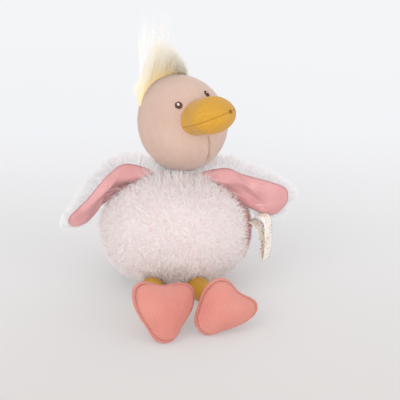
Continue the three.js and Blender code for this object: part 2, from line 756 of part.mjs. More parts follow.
function makeLabel() {
  const group = new THREE.Group();
  group.name = 'label';
  group.position.copy(onSideSeam(1, LABEL_SEAM_ANGLE, 0));
  group.rotation.z = LABEL_TURN * RAD;
  const half = LABEL_THICKNESS / 2;
  const rootGap = half + SEAM_GAP / 2;
  const line = new THREE.CatmullRomCurve3([
    new THREE.Vector3(0, 0, rootGap),
    new THREE.Vector3(LABEL_OUT * 0.6, 0, 4),
    new THREE.Vector3(LABEL_OUT, 0, -3),
    new THREE.Vector3(LABEL_OUT, 0, -LABEL_LENGTH * 0.6),
    new THREE.Vector3(LABEL_OUT - 2, 0, -LABEL_LENGTH),
    new THREE.Vector3(LABEL_OUT - 5, 0, -LABEL_LENGTH * 0.6),
    new THREE.Vector3(LABEL_OUT - 9, 0, -10),
    new THREE.Vector3(0, 0, -rootGap),
  ]);
  const steps = 34;
  const across = new THREE.Vector3(0, LABEL_WIDTH / 2, 0);
  const rings = Array.from({ length: steps + 1 }, (unused, i) => {
    const spot = line.getPoint(i / steps);
    const along = line.getTangent(i / steps);
    const up = new THREE.Vector3(-along.z, 0, along.x).multiplyScalar(half);
    return [
      spot.clone().sub(across).sub(up),
      spot.clone().add(across).sub(up),
      spot.clone().add(across).add(up),
      spot.clone().sub(across).add(up),
    ];
  });
  const geometry = loft([[line.getPoint(0)], ...rings, [line.getPoint(1)]]);
  const ribbon = solidOf(geometry).subtract(trunkFor(group, LABEL_GAP));
  group.add(named('label_loop', geometryOf(ribbon), COLOURS.ribbon, 0.5));
  return group;
}

const neckBall = new THREE.SphereGeometry(NECK_RADIUS, 20, 12);
neck.add(named('neck_wad', geometryOf(solidOf(neckBall)), COLOURS.wadding, 1));

makeHead();
makeBeak();
makeEyes();
makeHair();

const toy = new THREE.Group();
toy.add(makeBody(), neck, head, makeLabel());
WINGS.forEach((wing) => toy.add(makeWing(wing)));
FEET.forEach((foot, i) => {
  const footGroup = makeFoot(foot);
  toy.add(makeLeg(foot, hips[i], footGroup.position), footGroup);
});

export default toy;
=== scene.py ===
"""A seated stuffed bird: sewn covers with seams, pile, fur, hair, embroidered eyes and a ribbon label."""

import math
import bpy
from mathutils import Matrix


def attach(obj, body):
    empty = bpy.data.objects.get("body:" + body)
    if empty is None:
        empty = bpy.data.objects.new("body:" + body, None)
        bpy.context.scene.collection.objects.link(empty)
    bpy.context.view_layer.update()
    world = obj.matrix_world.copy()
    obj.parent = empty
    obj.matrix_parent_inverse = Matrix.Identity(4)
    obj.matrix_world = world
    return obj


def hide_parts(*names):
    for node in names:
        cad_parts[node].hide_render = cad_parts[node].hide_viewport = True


bl_info = {
    "name": "Stuffed Bird",
    "version": (1, 0, 0),
    "blender": (4, 5, 0),
    "location": "View3D > Sidebar > Bird",
    "description": "Dresses a seated stuffed bird in its cloth, pile and fur",
    "category": "Object",
}

import bmesh
import bpy
import numpy as np
from bpy.props import FloatProperty, FloatVectorProperty, IntProperty, PointerProperty
from bpy.types import Operator, Panel, PropertyGroup
from mathutils import Matrix, Vector, noise
from mathutils.bvhtree import BVHTree

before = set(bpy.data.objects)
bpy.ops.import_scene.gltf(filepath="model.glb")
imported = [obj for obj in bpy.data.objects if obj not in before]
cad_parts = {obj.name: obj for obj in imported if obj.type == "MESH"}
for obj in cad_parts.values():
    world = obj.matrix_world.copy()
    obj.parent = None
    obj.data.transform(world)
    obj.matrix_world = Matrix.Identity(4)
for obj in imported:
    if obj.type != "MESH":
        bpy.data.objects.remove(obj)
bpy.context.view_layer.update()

# A millimetre, and how many of them everything stays above the floor
MM = 0.001
FLOOR_GAP = 0.3

# How often a skin's faces are split, and how it passes over the gaps between solids, in millimetres
FINE = 6
COARSE = 5
PIT_DEPTH = 0.25
PIT_ASIDE = 0.6
DENT_DEPTH = 0.1
DENT_PASSES = 3

# Where the covers are, in millimetres and degrees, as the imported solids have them. FOOT_SEAM and
# WADDING_SHARE are shares of the skin and of the wing
BODY_SIZE = (155, 128, 115)
BODY_CENTRE = (2, 0, 57.5)
BODY_SEAM_TURN = 6
HEAD_CENTRE = (9.5, 13, 160.03)
HEAD_TURN = 30.7
HEAD_PITCH = -25.2
HEAD_ROLL = -10
HEAD_SIDE = 44.5
HEAD_UP = 51
HEAD_SEAM_BACK = 5
NECK_CENTRE = (9.5, 13, 114.8)
EYE_AZIMUTH = 24
EYE_ELEVATION = 27
LABEL_ROOT = (77.47, -7.93, 68.47)
LABEL_TURN = -38
LABEL_LINE = (
    (0, 0, 0.6), (10, 0, 7), (19, 0, 4), (21, 0, -22), (18, 0, -40), (15, 0, -22), (11, 0, -6), (0, 0, -0.6),
)
LABEL_POINTS = 60
FOOT_DEPTH = 20.5
FOOT_RISE = 4
FOOT_SEAM = 0.12
FEET = {
    "left": {
        "hip": (-20.24, -53.44, 14.95), "ankle": (-14.36, -101.64, 15.57),
        "turn": 23, "recline": 34, "lean": 12,
    },
    "right": {
        "hip": (24.24, -53.44, 14.95), "ankle": (41.84, -88.36, 18.04),
        "turn": 14, "recline": 20, "lean": 46,
    },
}
WING_ROOTS = (26, 68)
WING_NECK = 83
WING_GAP = 0.5
WING_SUNK = 2.0
WING_HALF = 5.5
WING_EDGE_POINTS = 160
WADDING_SLACK = 1.3
WADDING_SHARE = 0.97
WINGS = {
    "left": {
        "side": -1,
        "upper": ((2, -6, 28), (-19, -12, 17), (-39, -15, -6), (-60, -11, -25)),
        "lower": ((-29, 0, -21), (-38, -6, -32), (-47, -10, -38), (-58, -10, -42)),
    },
    "right": {
        "side": 1,
        "upper": ((-2, 3, 24), (17, 4, 17), (40, 5, 11), (62, 5, 8)),
        "lower": ((29, 0, -20), (39, 3, -26), (51, 5, -27), (64, 5, -19)),
    },
}

# How high the shoulders' curls start, in metres
SHOULDER_LEVEL = 0.109

# The gap between two stitches of the bill, in metres, and the crossing ones' share of the way along them
STITCH_GAP = 0.0021
CROSS_STITCH_AT = 0.585

# Each eye: its side, and its width and height as shares of a whole one
EYES = {"left": (-1, 1, 1.08), "right": (1, 0.45, 0.85)}

# Each layer of an eye's thread: its inner and outer reach, in metres, and its count
EYE_LAYERS = ((0.0009, 0.0041, 44), (0.0011, 0.0038, 38))

# Each lock and wisp of the tuft: the angle of its root from the crown in degrees, and where its tip is
HAIR_LOCKS = (
    (-44, -36, 22, 200), (-39, -29, 22, 214), (-33, -25, 22, 225), (-26, -21, 22, 231), (-20, -18, 22, 240),
    (-13, -14, 22, 248), (-6, -9, 22, 242), (0, -5, 22, 238), (7, -1, 22, 240), (14, 3, 22, 235),
    (20, 6, 22, 229), (26, 9, 22, 223), (30, 10, 22, 217),
)
HAIR_WISPS = (
    (-30, -30, 24, 263), (-24, -27, 24, 280), (-18, -23, 24, 274), (-14, -17, 24, 278), (-8, -9, 24, 271),
    (-2, -6, 24, 282), (6, -2, 24, 276), (10, -3, 24, 258), (-20, -20, 24, 261), (-4, -12, 24, 255),
)

# Each solid inside the covers: its body and its slot
FILLINGS = {
    "body_filling": ("torso", "wadding"), "pellet_pouch": ("torso", "pouch_cloth"),
    "head_filling": ("head", "wadding"), "beak_filling": ("head", "wadding"),
    "leg_left_filling": ("leg_left", "wadding"), "leg_right_filling": ("leg_right", "wadding"),
    "foot_left_filling": ("foot_left", "wadding"), "foot_right_filling": ("foot_right", "wadding"),
}

# Where each piece's random numbers start
SEEDS = {"body": 11, "neck": 17, "beak": 5, "eyes": 3, "hair": 21, "wing_left": 31, "wing_right": 32}

# Shares of the strands: thin stray curls, darkened curls as painted shade of the gaps in the pile, wisps of
# the tuft, fur at a wing's edges
STRAY_SHARE = 0.3
GAP_SHADE_SHARE = 0.06
WISP_SHARE = 0.13
RIM_SHARE = 0.5

# Each cloth's finish: its nap's fineness and depth, in metres, and what else differs from plain velour
PLAIN = dict(rough=0.9, sheen=0.25, mottle=26.0, weave=0.0, weave_scale=145.0)
CLOTHS = {
    "Knitted ground": dict(nap_scale=700, depth=0.0006),
    "Dusty plush ground": dict(nap_scale=1400, depth=0.0004),
    "Gathered neck": dict(nap_scale=700, depth=0.0004),
    "Head velour": dict(nap_scale=620, depth=0.00025, sheen=0.35, weave=0.17),
    "Mustard velour": dict(nap_scale=640, depth=0.00022, sheen=0.2, weave=0.05),
    "White thread": dict(nap_scale=1800, depth=0.0001),
    "Pink lining": dict(nap_scale=700, depth=0.00014, rough=0.6, sheen=0.3, mottle=34),
    "Fur backing": dict(nap_scale=900, depth=0.0003),
    "Wing wadding": dict(nap_scale=500, depth=0.0008, rough=0.95, sheen=0.2),
    "Leg velour": dict(nap_scale=640, depth=0.00022, sheen=0.2),
    "Coral velour": dict(nap_scale=560, depth=0.0004, sheen=0.3, weave=0.11, weave_scale=165.0),
    "Loose fibre": dict(nap_scale=500, depth=0.0008, rough=0.95, sheen=0.2),
    "Pouch cloth": dict(nap_scale=900, depth=0.0003),
}

# Small things' screen colours. A thread has two, for its root and its end
WEAVE_DOT = (255, 246, 238)
# SEAM_SHADE is painted shade, multiplied into seam grooves and the wings' recesses
SEAM_SHADE = (206, 190, 184)
KNOT_THREAD = (250, 246, 240), (228, 220, 212)
BILL_THREAD = (186, 128, 46), (200, 142, 54)
CROSS_THREAD = (150, 84, 44), (168, 96, 52)
PRINT = (120, 124, 128), (196, 96, 76), (206, 196, 96)

# The stage, in metres, degrees and screen colours. Each lamp: its place, width, power and tint
LAMPS = {
    "key": ((-0.9, -1.1, 1.6), 1.4, 8, (1.0, 0.985, 0.965)),
    "fill": ((1.3, -0.9, 0.8), 1.2, 5, (0.97, 0.98, 1.0)),
    "back": ((0.4, 1.4, 1.1), 1.3, 3.5, (1.0, 1.0, 1.0)),
    "low": ((-0.1, -1.5, 0.32), 1.0, 8.8, (1.0, 0.985, 0.97)),
}
LAMP_AIM = (0, 0, 0.1)
SKY_TINT = (0.97, 0.98, 1.0)
SKY_POWER = 0.81
BACKDROP = (240, 241, 243)
FLOOR_GLOW = (244, 245, 247)
FLOOR_GLOW_LEAST = 0.3
FLOOR_HALF = 6
CAMERA_PLACE = (0.026, -1.0126, 0.5156)
CAMERA_PITCH = 67
CAMERA_LENS = 99
CAMERA_SENSOR = 36


def linear(value):
    """One screen value from 0 to 255 as linear light."""
    share = value / 255
    return share / 12.92 if share <= 0.04045 else ((share + 0.055) / 1.055) ** 2.4


def rgb(red, green, blue):
    """A screen colour as the linear colour that a shader takes."""
    return (linear(red), linear(green), linear(blue))


def mm(values):
    """A point given in millimetres."""
    return Vector(values) * MM


def turned(degrees, axis):
    """A turn about one axis."""
    return Matrix.Rotation(math.radians(degrees), 3, axis)


def unit(vectors):
    """Vectors of an array at length 1."""
    return vectors / np.linalg.norm(vectors, axis=-1)[..., None]


def shaded(colour, share):
    """A colour at a share of its light."""
    return tuple(min(1, share * c) for c in colour)


def run_along(line):
    """How far along a line each of its points is."""
    return np.concatenate([[0], np.cumsum(np.linalg.norm(np.diff(line, axis=0), axis=1))])


def between(at, places, points):
    """Points read off a line of points, which has them at the given places."""
    return np.stack([np.interp(at, places, points[:, k]) for k in range(3)], axis=-1)


def length_property(label, text, default, high=0.1):
    """A size of the toy in metres."""
    return FloatProperty(name=label, description=text, default=default, min=0, max=high, unit="LENGTH",
                         precision=5)


def count_property(label, text, default):
    """A number of strands."""
    return IntProperty(name=label, description=text, default=default, min=0, max=30000)


def colour_property(label, text, default):
    """A cloth or thread colour."""
    return FloatVectorProperty(name=label, description=text, default=rgb(*default), size=3, min=0, max=1,
                               subtype="COLOR")


class BirdSizes(PropertyGroup):
    """The lengths, depths and counts of the toy's finish."""

    pile_inset: length_property("Pile depth", "How far the knitted ground lies under the curls' tips", 0.0036)
    curl_length: length_property("Curl length", "Length of one curl of the front pile", 0.0068)
    curl_radius: length_property("Curl thread", "Radius of one curl's thread", 0.00036)
    curl_count: count_property("Curls", "Curls on each of the three front pieces", 5600)
    shoulder_count: count_property("Shoulder curls", "Curls over the shoulders, on the back panel", 700)
    neck_count: count_property("Neck curls", "Curls round the neck", 1500)
    ruff_length: length_property("Neck pile", "Extra length of the pile round the neck", 0.0095)
    nap_length: length_property("Back nap", "Length of the back panel's straight pile", 0.0034)
    nap_count: count_property("Nap strands", "Strands on the back panel", 11000)
    fur_length: length_property("Wing fur", "Length of the fur on the wings", 0.019)
    fur_count: count_property("Fur strands", "Strands on each wing", 6500)
    hair_count: count_property("Hairs", "Strands in the tuft", 3400)
    seam_depth: length_property("Seam depth", "How far a seam pulls the cloth in", 0.0013)
    cloth_wall: length_property("Cloth thickness", "Thickness of the velour and knitted cloth", 0.0012)
    ribbon_width: length_property("Ribbon width", "Width of the label's ribbon", 0.013)
    ribbon_thickness: length_property("Ribbon thickness", "Thickness of the label's ribbon", 0.00035)


# Each shade colour is a cloth's darker mottle, and also its painted shade in the nap's hollows and along
# marked seams
class BirdColours(PropertyGroup):
    """The colours of the toy's cloths, pile and threads."""

    curl_tip: colour_property("Curl tips", "Outer part of the front pile", (241, 237, 236))
    curl_root: colour_property("Curl roots", "Inner part of the front pile", (233, 211, 208))
    nap_tip: colour_property("Back tips", "Outer part of the back pile", (224, 182, 180))
    nap_root: colour_property("Back roots", "Inner part of the back pile", (176, 116, 116))
    velour: colour_property("Head velour", "The head's velour", (208, 180, 163))
    velour_shade: colour_property("Head shade", "The velour's darker mottle", (196, 163, 148))
    mustard: colour_property("Mustard", "Bill and legs", (209, 159, 54))
    mustard_shade: colour_property("Mustard shade", "Darker mottle of the bill and legs", (197, 143, 44))
    coral: colour_property("Coral", "The feet", (211, 139, 126))
    coral_shade: colour_property("Coral shade", "Darker mottle of the feet", (197, 117, 105))
    lining: colour_property("Wing lining", "The smooth front of the wings", (225, 172, 172))
    lining_shade: colour_property("Lining shade", "The lining's darker mottle", (203, 143, 143))
    fur_tip: colour_property("Fur tips", "Outer part of the wing fur", (251, 249, 250))
    fur_root: colour_property("Fur roots", "Inner part of the wing fur", (231, 225, 227))
    hair_tip: colour_property("Hair tips", "The end of the tuft's hairs", (248, 246, 241))
    hair_root: colour_property("Hair roots", "The sewn end of the tuft's hairs", (255, 227, 160))
    thread: colour_property("Eye thread", "The eyes' brown thread", (92, 62, 52))
    ribbon: colour_property("Ribbon", "The label's satin", (240, 233, 225))
    fibre: colour_property("Filling", "The loose polyester filling", (240, 239, 236))
    pouch: colour_property("Pouch", "The pellet pouch's cloth", (217, 210, 196))
    floor_near: colour_property("Floor", "The floor in front of the toy", (202, 196, 191))
    floor_far: colour_property("Backdrop", "The floor far behind the toy", (238, 238, 240))


def sizes():
    """The scene's sizes of the toy."""
    return bpy.context.scene.bird_sizes


def colours():
    """The scene's colours of the toy."""
    return bpy.context.scene.bird_colours


# Shader nodes


def add(tree, kind, **settings):
    """A shader node with its settings."""
    node = tree.nodes.new(kind)
    for name, value in settings.items():
        setattr(node, name, value)
    return node


def put(tree, value, socket):
    """Gives an input socket another socket's value, a number, a vector or a colour."""
    if isinstance(value, bpy.types.NodeSocket):
        tree.links.new(value, socket)
    elif isinstance(value, (int, float)) or socket.type == "VECTOR":
        socket.default_value = value
    else:
        socket.default_value = (*value, 1)


def fill(tree, node, **values):
    """Gives a node's inputs their values. A name has _ for each space."""
    for label, value in values.items():
        put(tree, value, node.inputs[label.replace("_", " ")])
    return node


def node_of(tree, kind):
    """The first node of a kind in a tree."""
    return next(node for node in tree.nodes if node.type == kind)


def group_tree(name, inputs, outputs):
    """A new node group with its sockets, and its input and output nodes."""
    tree = bpy.data.node_groups.new(name, "ShaderNodeTree")
    for way, sockets in (("INPUT", inputs), ("OUTPUT", outputs)):
        for label, kind in sockets.items():
            tree.interface.new_socket(label, in_out=way, socket_type=f"NodeSocket{kind}")
    return tree, add(tree, "NodeGroupInput"), add(tree, "NodeGroupOutput")


def attribute(tree, name, output="Fac"):
    """What a mesh has written on its points."""
    return add(tree, "ShaderNodeAttribute", attribute_name=name).outputs[output]


def noise_node(tree, vector, scale, detail=3.0, rough=0.55):
    """Soft noise."""
    node = add(tree, "ShaderNodeTexNoise")
    return fill(tree, node, Vector=vector, Scale=scale, Detail=detail, Roughness=rough).outputs["Fac"]


def wave_node(tree, way, **values):
    """Parallel ribs across one way."""
    node = add(tree, "ShaderNodeTexWave", wave_type="BANDS", bands_direction=way)
    return fill(tree, node, **values).outputs["Fac"]


def maths(tree, operation, first, second, clamp=False):
    """A maths node on sockets or numbers."""
    node = add(tree, "ShaderNodeMath", operation=operation, use_clamp=clamp)
    for socket, value in zip(node.inputs, (first, second)):
        put(tree, value, socket)
    return node.outputs[0]


def spread(tree, value, low, high, to_low=0.0, to_high=1.0):
    """Maps a value's range onto another, clamped."""
    node = fill(tree, add(tree, "ShaderNodeMapRange"), Value=value)
    for socket, number in zip(node.inputs[1:5], (low, high, to_low, to_high)):
        socket.default_value = number
    return node.outputs["Result"]


def mixed(tree, share, first, second, blend="MIX"):
    """A colour mixed from two colours or colour sockets."""
    node = fill(tree, add(tree, "ShaderNodeMix", data_type="RGBA", blend_type=blend), Factor=share)
    for name, value in (("A", first), ("B", second)):
        put(tree, value, next(s for s in node.inputs if s.name == name and s.type == "RGBA"))
    return next(s for s in node.outputs if s.type == "RGBA")


def mixed_shader(tree, share, first, second):
    """A surface mixed from two."""
    node = add(tree, "ShaderNodeMixShader")
    for socket, value in zip(node.inputs, (share, first, second)):
        put(tree, value, socket)
    return node.outputs["Shader"]


def nap_group():
    """Velour and knit: a mottled colour, with painted shade in the nap's hollows and along marked seams, and
    the height of its fine nap.
    """
    if "Cloth nap" in bpy.data.node_groups:
        return bpy.data.node_groups["Cloth nap"]
    inputs = {"Vector": "Vector", "Cloth": "Color", "Shade": "Color", "Nap scale": "Float",
              "Mottle scale": "Float", "Weave scale": "Float", "Weave": "Float"}
    tree, inlet, outlet = group_tree("Cloth nap", inputs, {"Colour": "Color", "Height": "Float"})
    given = inlet.outputs
    fine = noise_node(tree, given["Vector"], given["Nap scale"], 2, 0.6)
    wide = noise_node(tree, given["Vector"], given["Mottle scale"], 4, 0.5)
    rib_scale = maths(tree, "MULTIPLY", given["Nap scale"], 0.42)
    rib = wave_node(tree, "DIAGONAL", Vector=given["Vector"], Scale=rib_scale, Distortion=2.5)
    height = maths(tree, "ADD", maths(tree, "MULTIPLY", fine, 0.7), maths(tree, "MULTIPLY", rib, 0.3))
    # The share of shade is a random mottle plus painted shade where the nap is low
    share = maths(tree, "ADD", maths(tree, "MULTIPLY", spread(tree, wide, 0.35, 0.7), 0.7),
                  maths(tree, "MULTIPLY", spread(tree, height, 0.7, 0.3), 0.45), True)
    tilt = fill(tree, add(tree, "ShaderNodeMapping"), Vector=attribute(tree, "cut", "Vector"),
                Rotation=(0, 0, math.radians(38)))
    weave = {"Vector": tilt.outputs["Vector"], "Scale": given["Weave scale"], "Distortion": 0.6, "Detail": 1}
    lines = [wave_node(tree, way, **weave) for way in ("X", "Y")]
    dots = maths(tree, "MULTIPLY", spread(tree, maths(tree, "MULTIPLY", *lines), 0.25, 0.8), given["Weave"])
    colour = mixed(tree, dots, mixed(tree, share, given["Cloth"], given["Shade"]), rgb(*WEAVE_DOT))
    # Painted shade: the cloth is darkened where the mesh marks a seam's groove or a wing's recess
    seam_shade_share = maths(tree, "MULTIPLY", attribute(tree, "seam"), 0.6, True)
    painted_seam_shade = mixed(tree, 1, given["Shade"], rgb(*SEAM_SHADE), "MULTIPLY")
    fill(tree, outlet, Colour=mixed(tree, seam_shade_share, colour, painted_seam_shade), Height=maths(tree, "ADD", height, dots))
    return tree


def strand_group():
    """Pile, fur and hair: a colour that runs from root to tip and changes a little from strand to strand."""
    if "Strand tone" in bpy.data.node_groups:
        return bpy.data.node_groups["Strand tone"]
    inputs = {"Root": "Color", "Tip": "Color", "Change": "Float"}
    tree, inlet, outlet = group_tree("Strand tone", inputs, {"Colour": "Color"})
    given = inlet.outputs
    drift = maths(tree, "MULTIPLY", maths(tree, "SUBTRACT", attribute(tree, "tone"), 0.5), given["Change"])
    share = maths(tree, "ADD", maths(tree, "POWER", attribute(tree, "along"), 0.7), drift, True)
    fill(tree, outlet, Colour=mixed(tree, share, given["Root"], given["Tip"]))
    return tree


def material(name):
    """A new material: its node tree, its shader and its Object coordinates."""
    made = bpy.data.materials.new(name)
    made.use_nodes = True
    tree = made.node_tree
    shader = fill(tree, node_of(tree, "BSDF_PRINCIPLED"), Specular_IOR_Level=0.25)
    return made, tree, shader, add(tree, "ShaderNodeTexCoord").outputs["Object"]


def placed_group(tree, group, **values):
    """The outputs of a node group in a material, with its own values."""
    return fill(tree, add(tree, "ShaderNodeGroup", node_tree=group), **values).outputs


def cloth_material(name, cloth, shade):
    """One of CLOTHS in its colours, with its nap and the light dots of its weave."""
    finish = {**PLAIN, **CLOTHS[name]}
    made, tree, shader, place = material(name)
    nap = placed_group(
        tree, nap_group(), Vector=place, Cloth=cloth, Shade=shade, Nap_scale=finish["nap_scale"],
        Mottle_scale=finish["mottle"], Weave_scale=finish["weave_scale"], Weave=finish["weave"],
    )
    bump = add(tree, "ShaderNodeBump")
    fill(tree, bump, Strength=0.6, Distance=finish["depth"], Height=nap["Height"])
    fill(tree, shader, Base_Color=nap["Colour"], Normal=bump.outputs["Normal"], Roughness=finish["rough"],
         Sheen_Weight=finish["sheen"], Sheen_Roughness=0.5)
    return made


def filling_material(name, colour):
    """A cloth or fibre inside the covers, with painted shade that makes it a little darker in its hollows."""
    return cloth_material(name, colour, shaded(colour, 0.85))


def strand_material(name, root, tip, change=0.3, rough=0.75, sheen=0.1, passing=0.0):
    """Pile, fur or hair. passing is the share of light that goes on through a fibre to those behind it."""
    made, tree, shader = material(name)[:3]
    tone = placed_group(tree, strand_group(), Root=root, Tip=tip, Change=change)
    fill(tree, shader, Base_Color=tone["Colour"], Roughness=rough, Sheen_Weight=sheen)
    if passing:
        surface = shader.outputs["BSDF"]
        fibre = mixed_shader(tree, passing, surface, add(tree, "ShaderNodeBsdfTransparent").outputs["BSDF"])
        path = add(tree, "ShaderNodeLightPath").outputs
        for ray in ("Is Shadow Ray", "Is Diffuse Ray"):
            surface = mixed_shader(tree, path[ray], surface, fibre)
        put(tree, surface, node_of(tree, "OUTPUT_MATERIAL").inputs["Surface"])
    return made


# Cloth skins


def node_trees(names):
    """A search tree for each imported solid."""
    trees = []
    for name in names:
        bm = bmesh.new()
        bm.from_mesh(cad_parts[name].data)
        trees.append(BVHTree.FromBMesh(bm))
        bm.free()
    return trees


def slice_at(bm, point, normal, near):
    """Cuts a bmesh's faces along a plane."""
    everything = bm.verts[:] + bm.edges[:] + bm.faces[:]
    bmesh.ops.bisect_plane(bm, geom=everything, dist=near, plane_co=point, plane_no=normal)


class Skin:
    """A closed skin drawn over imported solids, as a bmesh and the directions from which it was drawn."""

    def __init__(self, names, detail, turn, start, end=None, loops=(), reach=0.15, passes=6):
        end = end or start
        self.bm = bmesh.new()
        bmesh.ops.create_icosphere(self.bm, subdivisions=detail, radius=1)
        for normal, offset in loops:
            slice_at(self.bm, Vector(normal) * offset, Vector(normal), 1e-5)
        self.home = np.array([v.co.normalized() for v in self.bm.verts])
        self.turn = turn
        trees = node_trees(names)
        axis = turn.inverted() @ (end - start)
        if axis.length > 0:
            share = 0.5 + 0.5 * self.home @ np.array(axis.normalized())
        else:
            share = np.zeros(len(self.home))
        centres = np.array(start) + share[:, None] * np.array(end - start)
        rays = self.home @ np.array(turn.transposed())

        def solid_at(origin, ray):
            """How far out the outermost solid is, as met from outside."""
            gaps = [tree.ray_cast(Vector(origin), Vector(-ray), reach)[3] for tree in trees]
            return max(reach - gap if gap is not None else 0 for gap in gaps)

        far = np.array([solid_at(centre + ray * reach, ray) for centre, ray in zip(centres, rays)])
        first, second = np.array([[v.index for v in e.verts] for e in self.bm.edges]).T
        degree = np.bincount(first, minlength=len(far)) + np.bincount(second, minlength=len(far))

        def mean():
            """The mean of each point's neighbours."""
            total = np.bincount(first, far[second], len(far)) + np.bincount(second, far[first], len(far))
            return total / degree

        side, front = across(rays)
        for i in np.flatnonzero(far < mean() - PIT_DEPTH * MM):
            origin = centres[i] + rays[i] * reach
            shifts = (side[i], -side[i], front[i], -front[i])
            beside = [solid_at(origin + shift * PIT_ASIDE * MM, rays[i]) for shift in shifts]
            far[i] = sorted([far[i], *beside])[3]
        for step in range(passes):
            far = np.maximum(far, mean() - DENT_DEPTH * MM) if step < DENT_PASSES else (far + mean()) / 2
        self.points = centres + rays * far[:, None]
        self.far = far
        self.store()

    def store(self):
        """Writes the points to the bmesh, none of them under the floor, and takes their normals."""
        self.points[:, 2] = np.maximum(self.points[:, 2], FLOOR_GAP * MM)
        for vertex, point in zip(self.bm.verts, self.points):
            vertex.co = point
        self.bm.normal_update()
        self.normals = np.array([v.normal for v in self.bm.verts])

    def local(self, centre):
        """The points seen from a centre, in the skin's own frame, in metres."""
        return (self.points - np.array(centre)) @ np.array(self.turn)

    def push(self, amount):
        """Moves each point out along its normal."""
        self.points = self.points + self.normals * np.asarray(amount)[..., None]
        self.store()

    def mark(self, near, cut):
        """Writes how near each point is to a seam, 1 on the line, which the cloth takes as painted shade in
        the seam's groove, and its place on the flat cut cloth.
        """
        layer = self.bm.verts.layers.float.new("seam")
        places = self.bm.verts.layers.float_vector.new("cut")
        for vertex, value, place in zip(self.bm.verts, near, cut):
            vertex[layer] = float(value)
            vertex[places] = (place[0], place[1], 0)

    def ripple(self, scale, seed=0.0):
        """Smooth noise on the points, about -1 to 1."""
        shift = Vector((seed, seed * 2, seed * 3))
        return np.array([noise.noise(Vector(p) * scale + shift) for p in self.points])

    def panel(self, keep):
        """A copy of the faces whose corners' directions, on average, are kept."""
        panel = self.bm.copy()
        middles = np.array([self.home[[v.index for v in f.verts]].mean(0) for f in panel.faces])
        drop = [face for face, kept in zip(panel.faces, keep(middles)) if not kept]
        bmesh.ops.delete(panel, geom=drop, context="FACES")
        return panel


def seam(away, depth, width, puff=0.3):
    """How far cloth stands out at a distance from a seam: pulled in on the line, a little full beside it."""
    pulled = np.exp(-((away / width) ** 2))
    beside = np.exp(-(((np.abs(away) - 2.4 * width) / (1.2 * width)) ** 2))
    return depth * (puff * beside - pulled)


def piece(name, bm, cloth, body, nodes=(), wall=0.0):
    """Makes a bmesh a finished piece on its body."""
    mesh = bpy.data.meshes.new(name)
    bm.to_mesh(mesh)
    bm.free()
    mesh.shade_smooth()
    return piece_of(mesh, cloth, body, nodes, wall)


def piece_of(mesh, cloth, body, nodes=(), wall=0.0):
    """Makes a mesh a finished piece of its name on its body."""
    obj = bpy.data.objects.new(mesh.name, mesh)
    bpy.context.scene.collection.objects.link(obj)
    mesh.materials.append(cloth)
    if wall:
        solid = obj.modifiers.new("Cloth thickness", "SOLIDIFY")
        solid.thickness = wall
        solid.offset = -1
        solid.use_even_offset = False
    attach(obj, body)
    if nodes:
        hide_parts(*nodes)
    return obj


def panels(skin, nodes, kept, cloth, body):
    """A skin as two pieces sewn together, the first where kept says so, in place of two solids."""
    for node, keep in zip(nodes, (kept, lambda way: ~kept(way))):
        piece(f"{node}_cloth", skin.panel(keep), cloth, body, [node], sizes().cloth_wall)


# Strands


def strand_template(rings):
    """One pointed strand: a three-sided spike cut into rings, as its points and faces."""
    bm = bmesh.new()
    bmesh.ops.create_cone(bm, cap_ends=True, segments=3, radius1=1, radius2=0, depth=1)
    bmesh.ops.translate(bm, verts=bm.verts[:], vec=(0, 0, 0.5))
    bmesh.ops.remove_doubles(bm, verts=bm.verts[:], dist=1e-4)
    for k in range(1, rings):
        slice_at(bm, (0, 0, k / rings), (0, 0, 1), 1e-6)
    bm.verts.index_update()
    points = np.array([v.co for v in bm.verts])
    faces = [[v.index for v in f.verts] for f in bm.faces]
    bm.free()
    return points, faces


def across(directions):
    """Two directions across each given direction."""
    helper = np.where(np.abs(directions[:, 2:3]) < 0.9, np.array([[0, 0, 1.0]]), np.array([[1.0, 0, 0]]))
    side = unit(np.cross(directions, helper))
    return side, np.cross(directions, side)


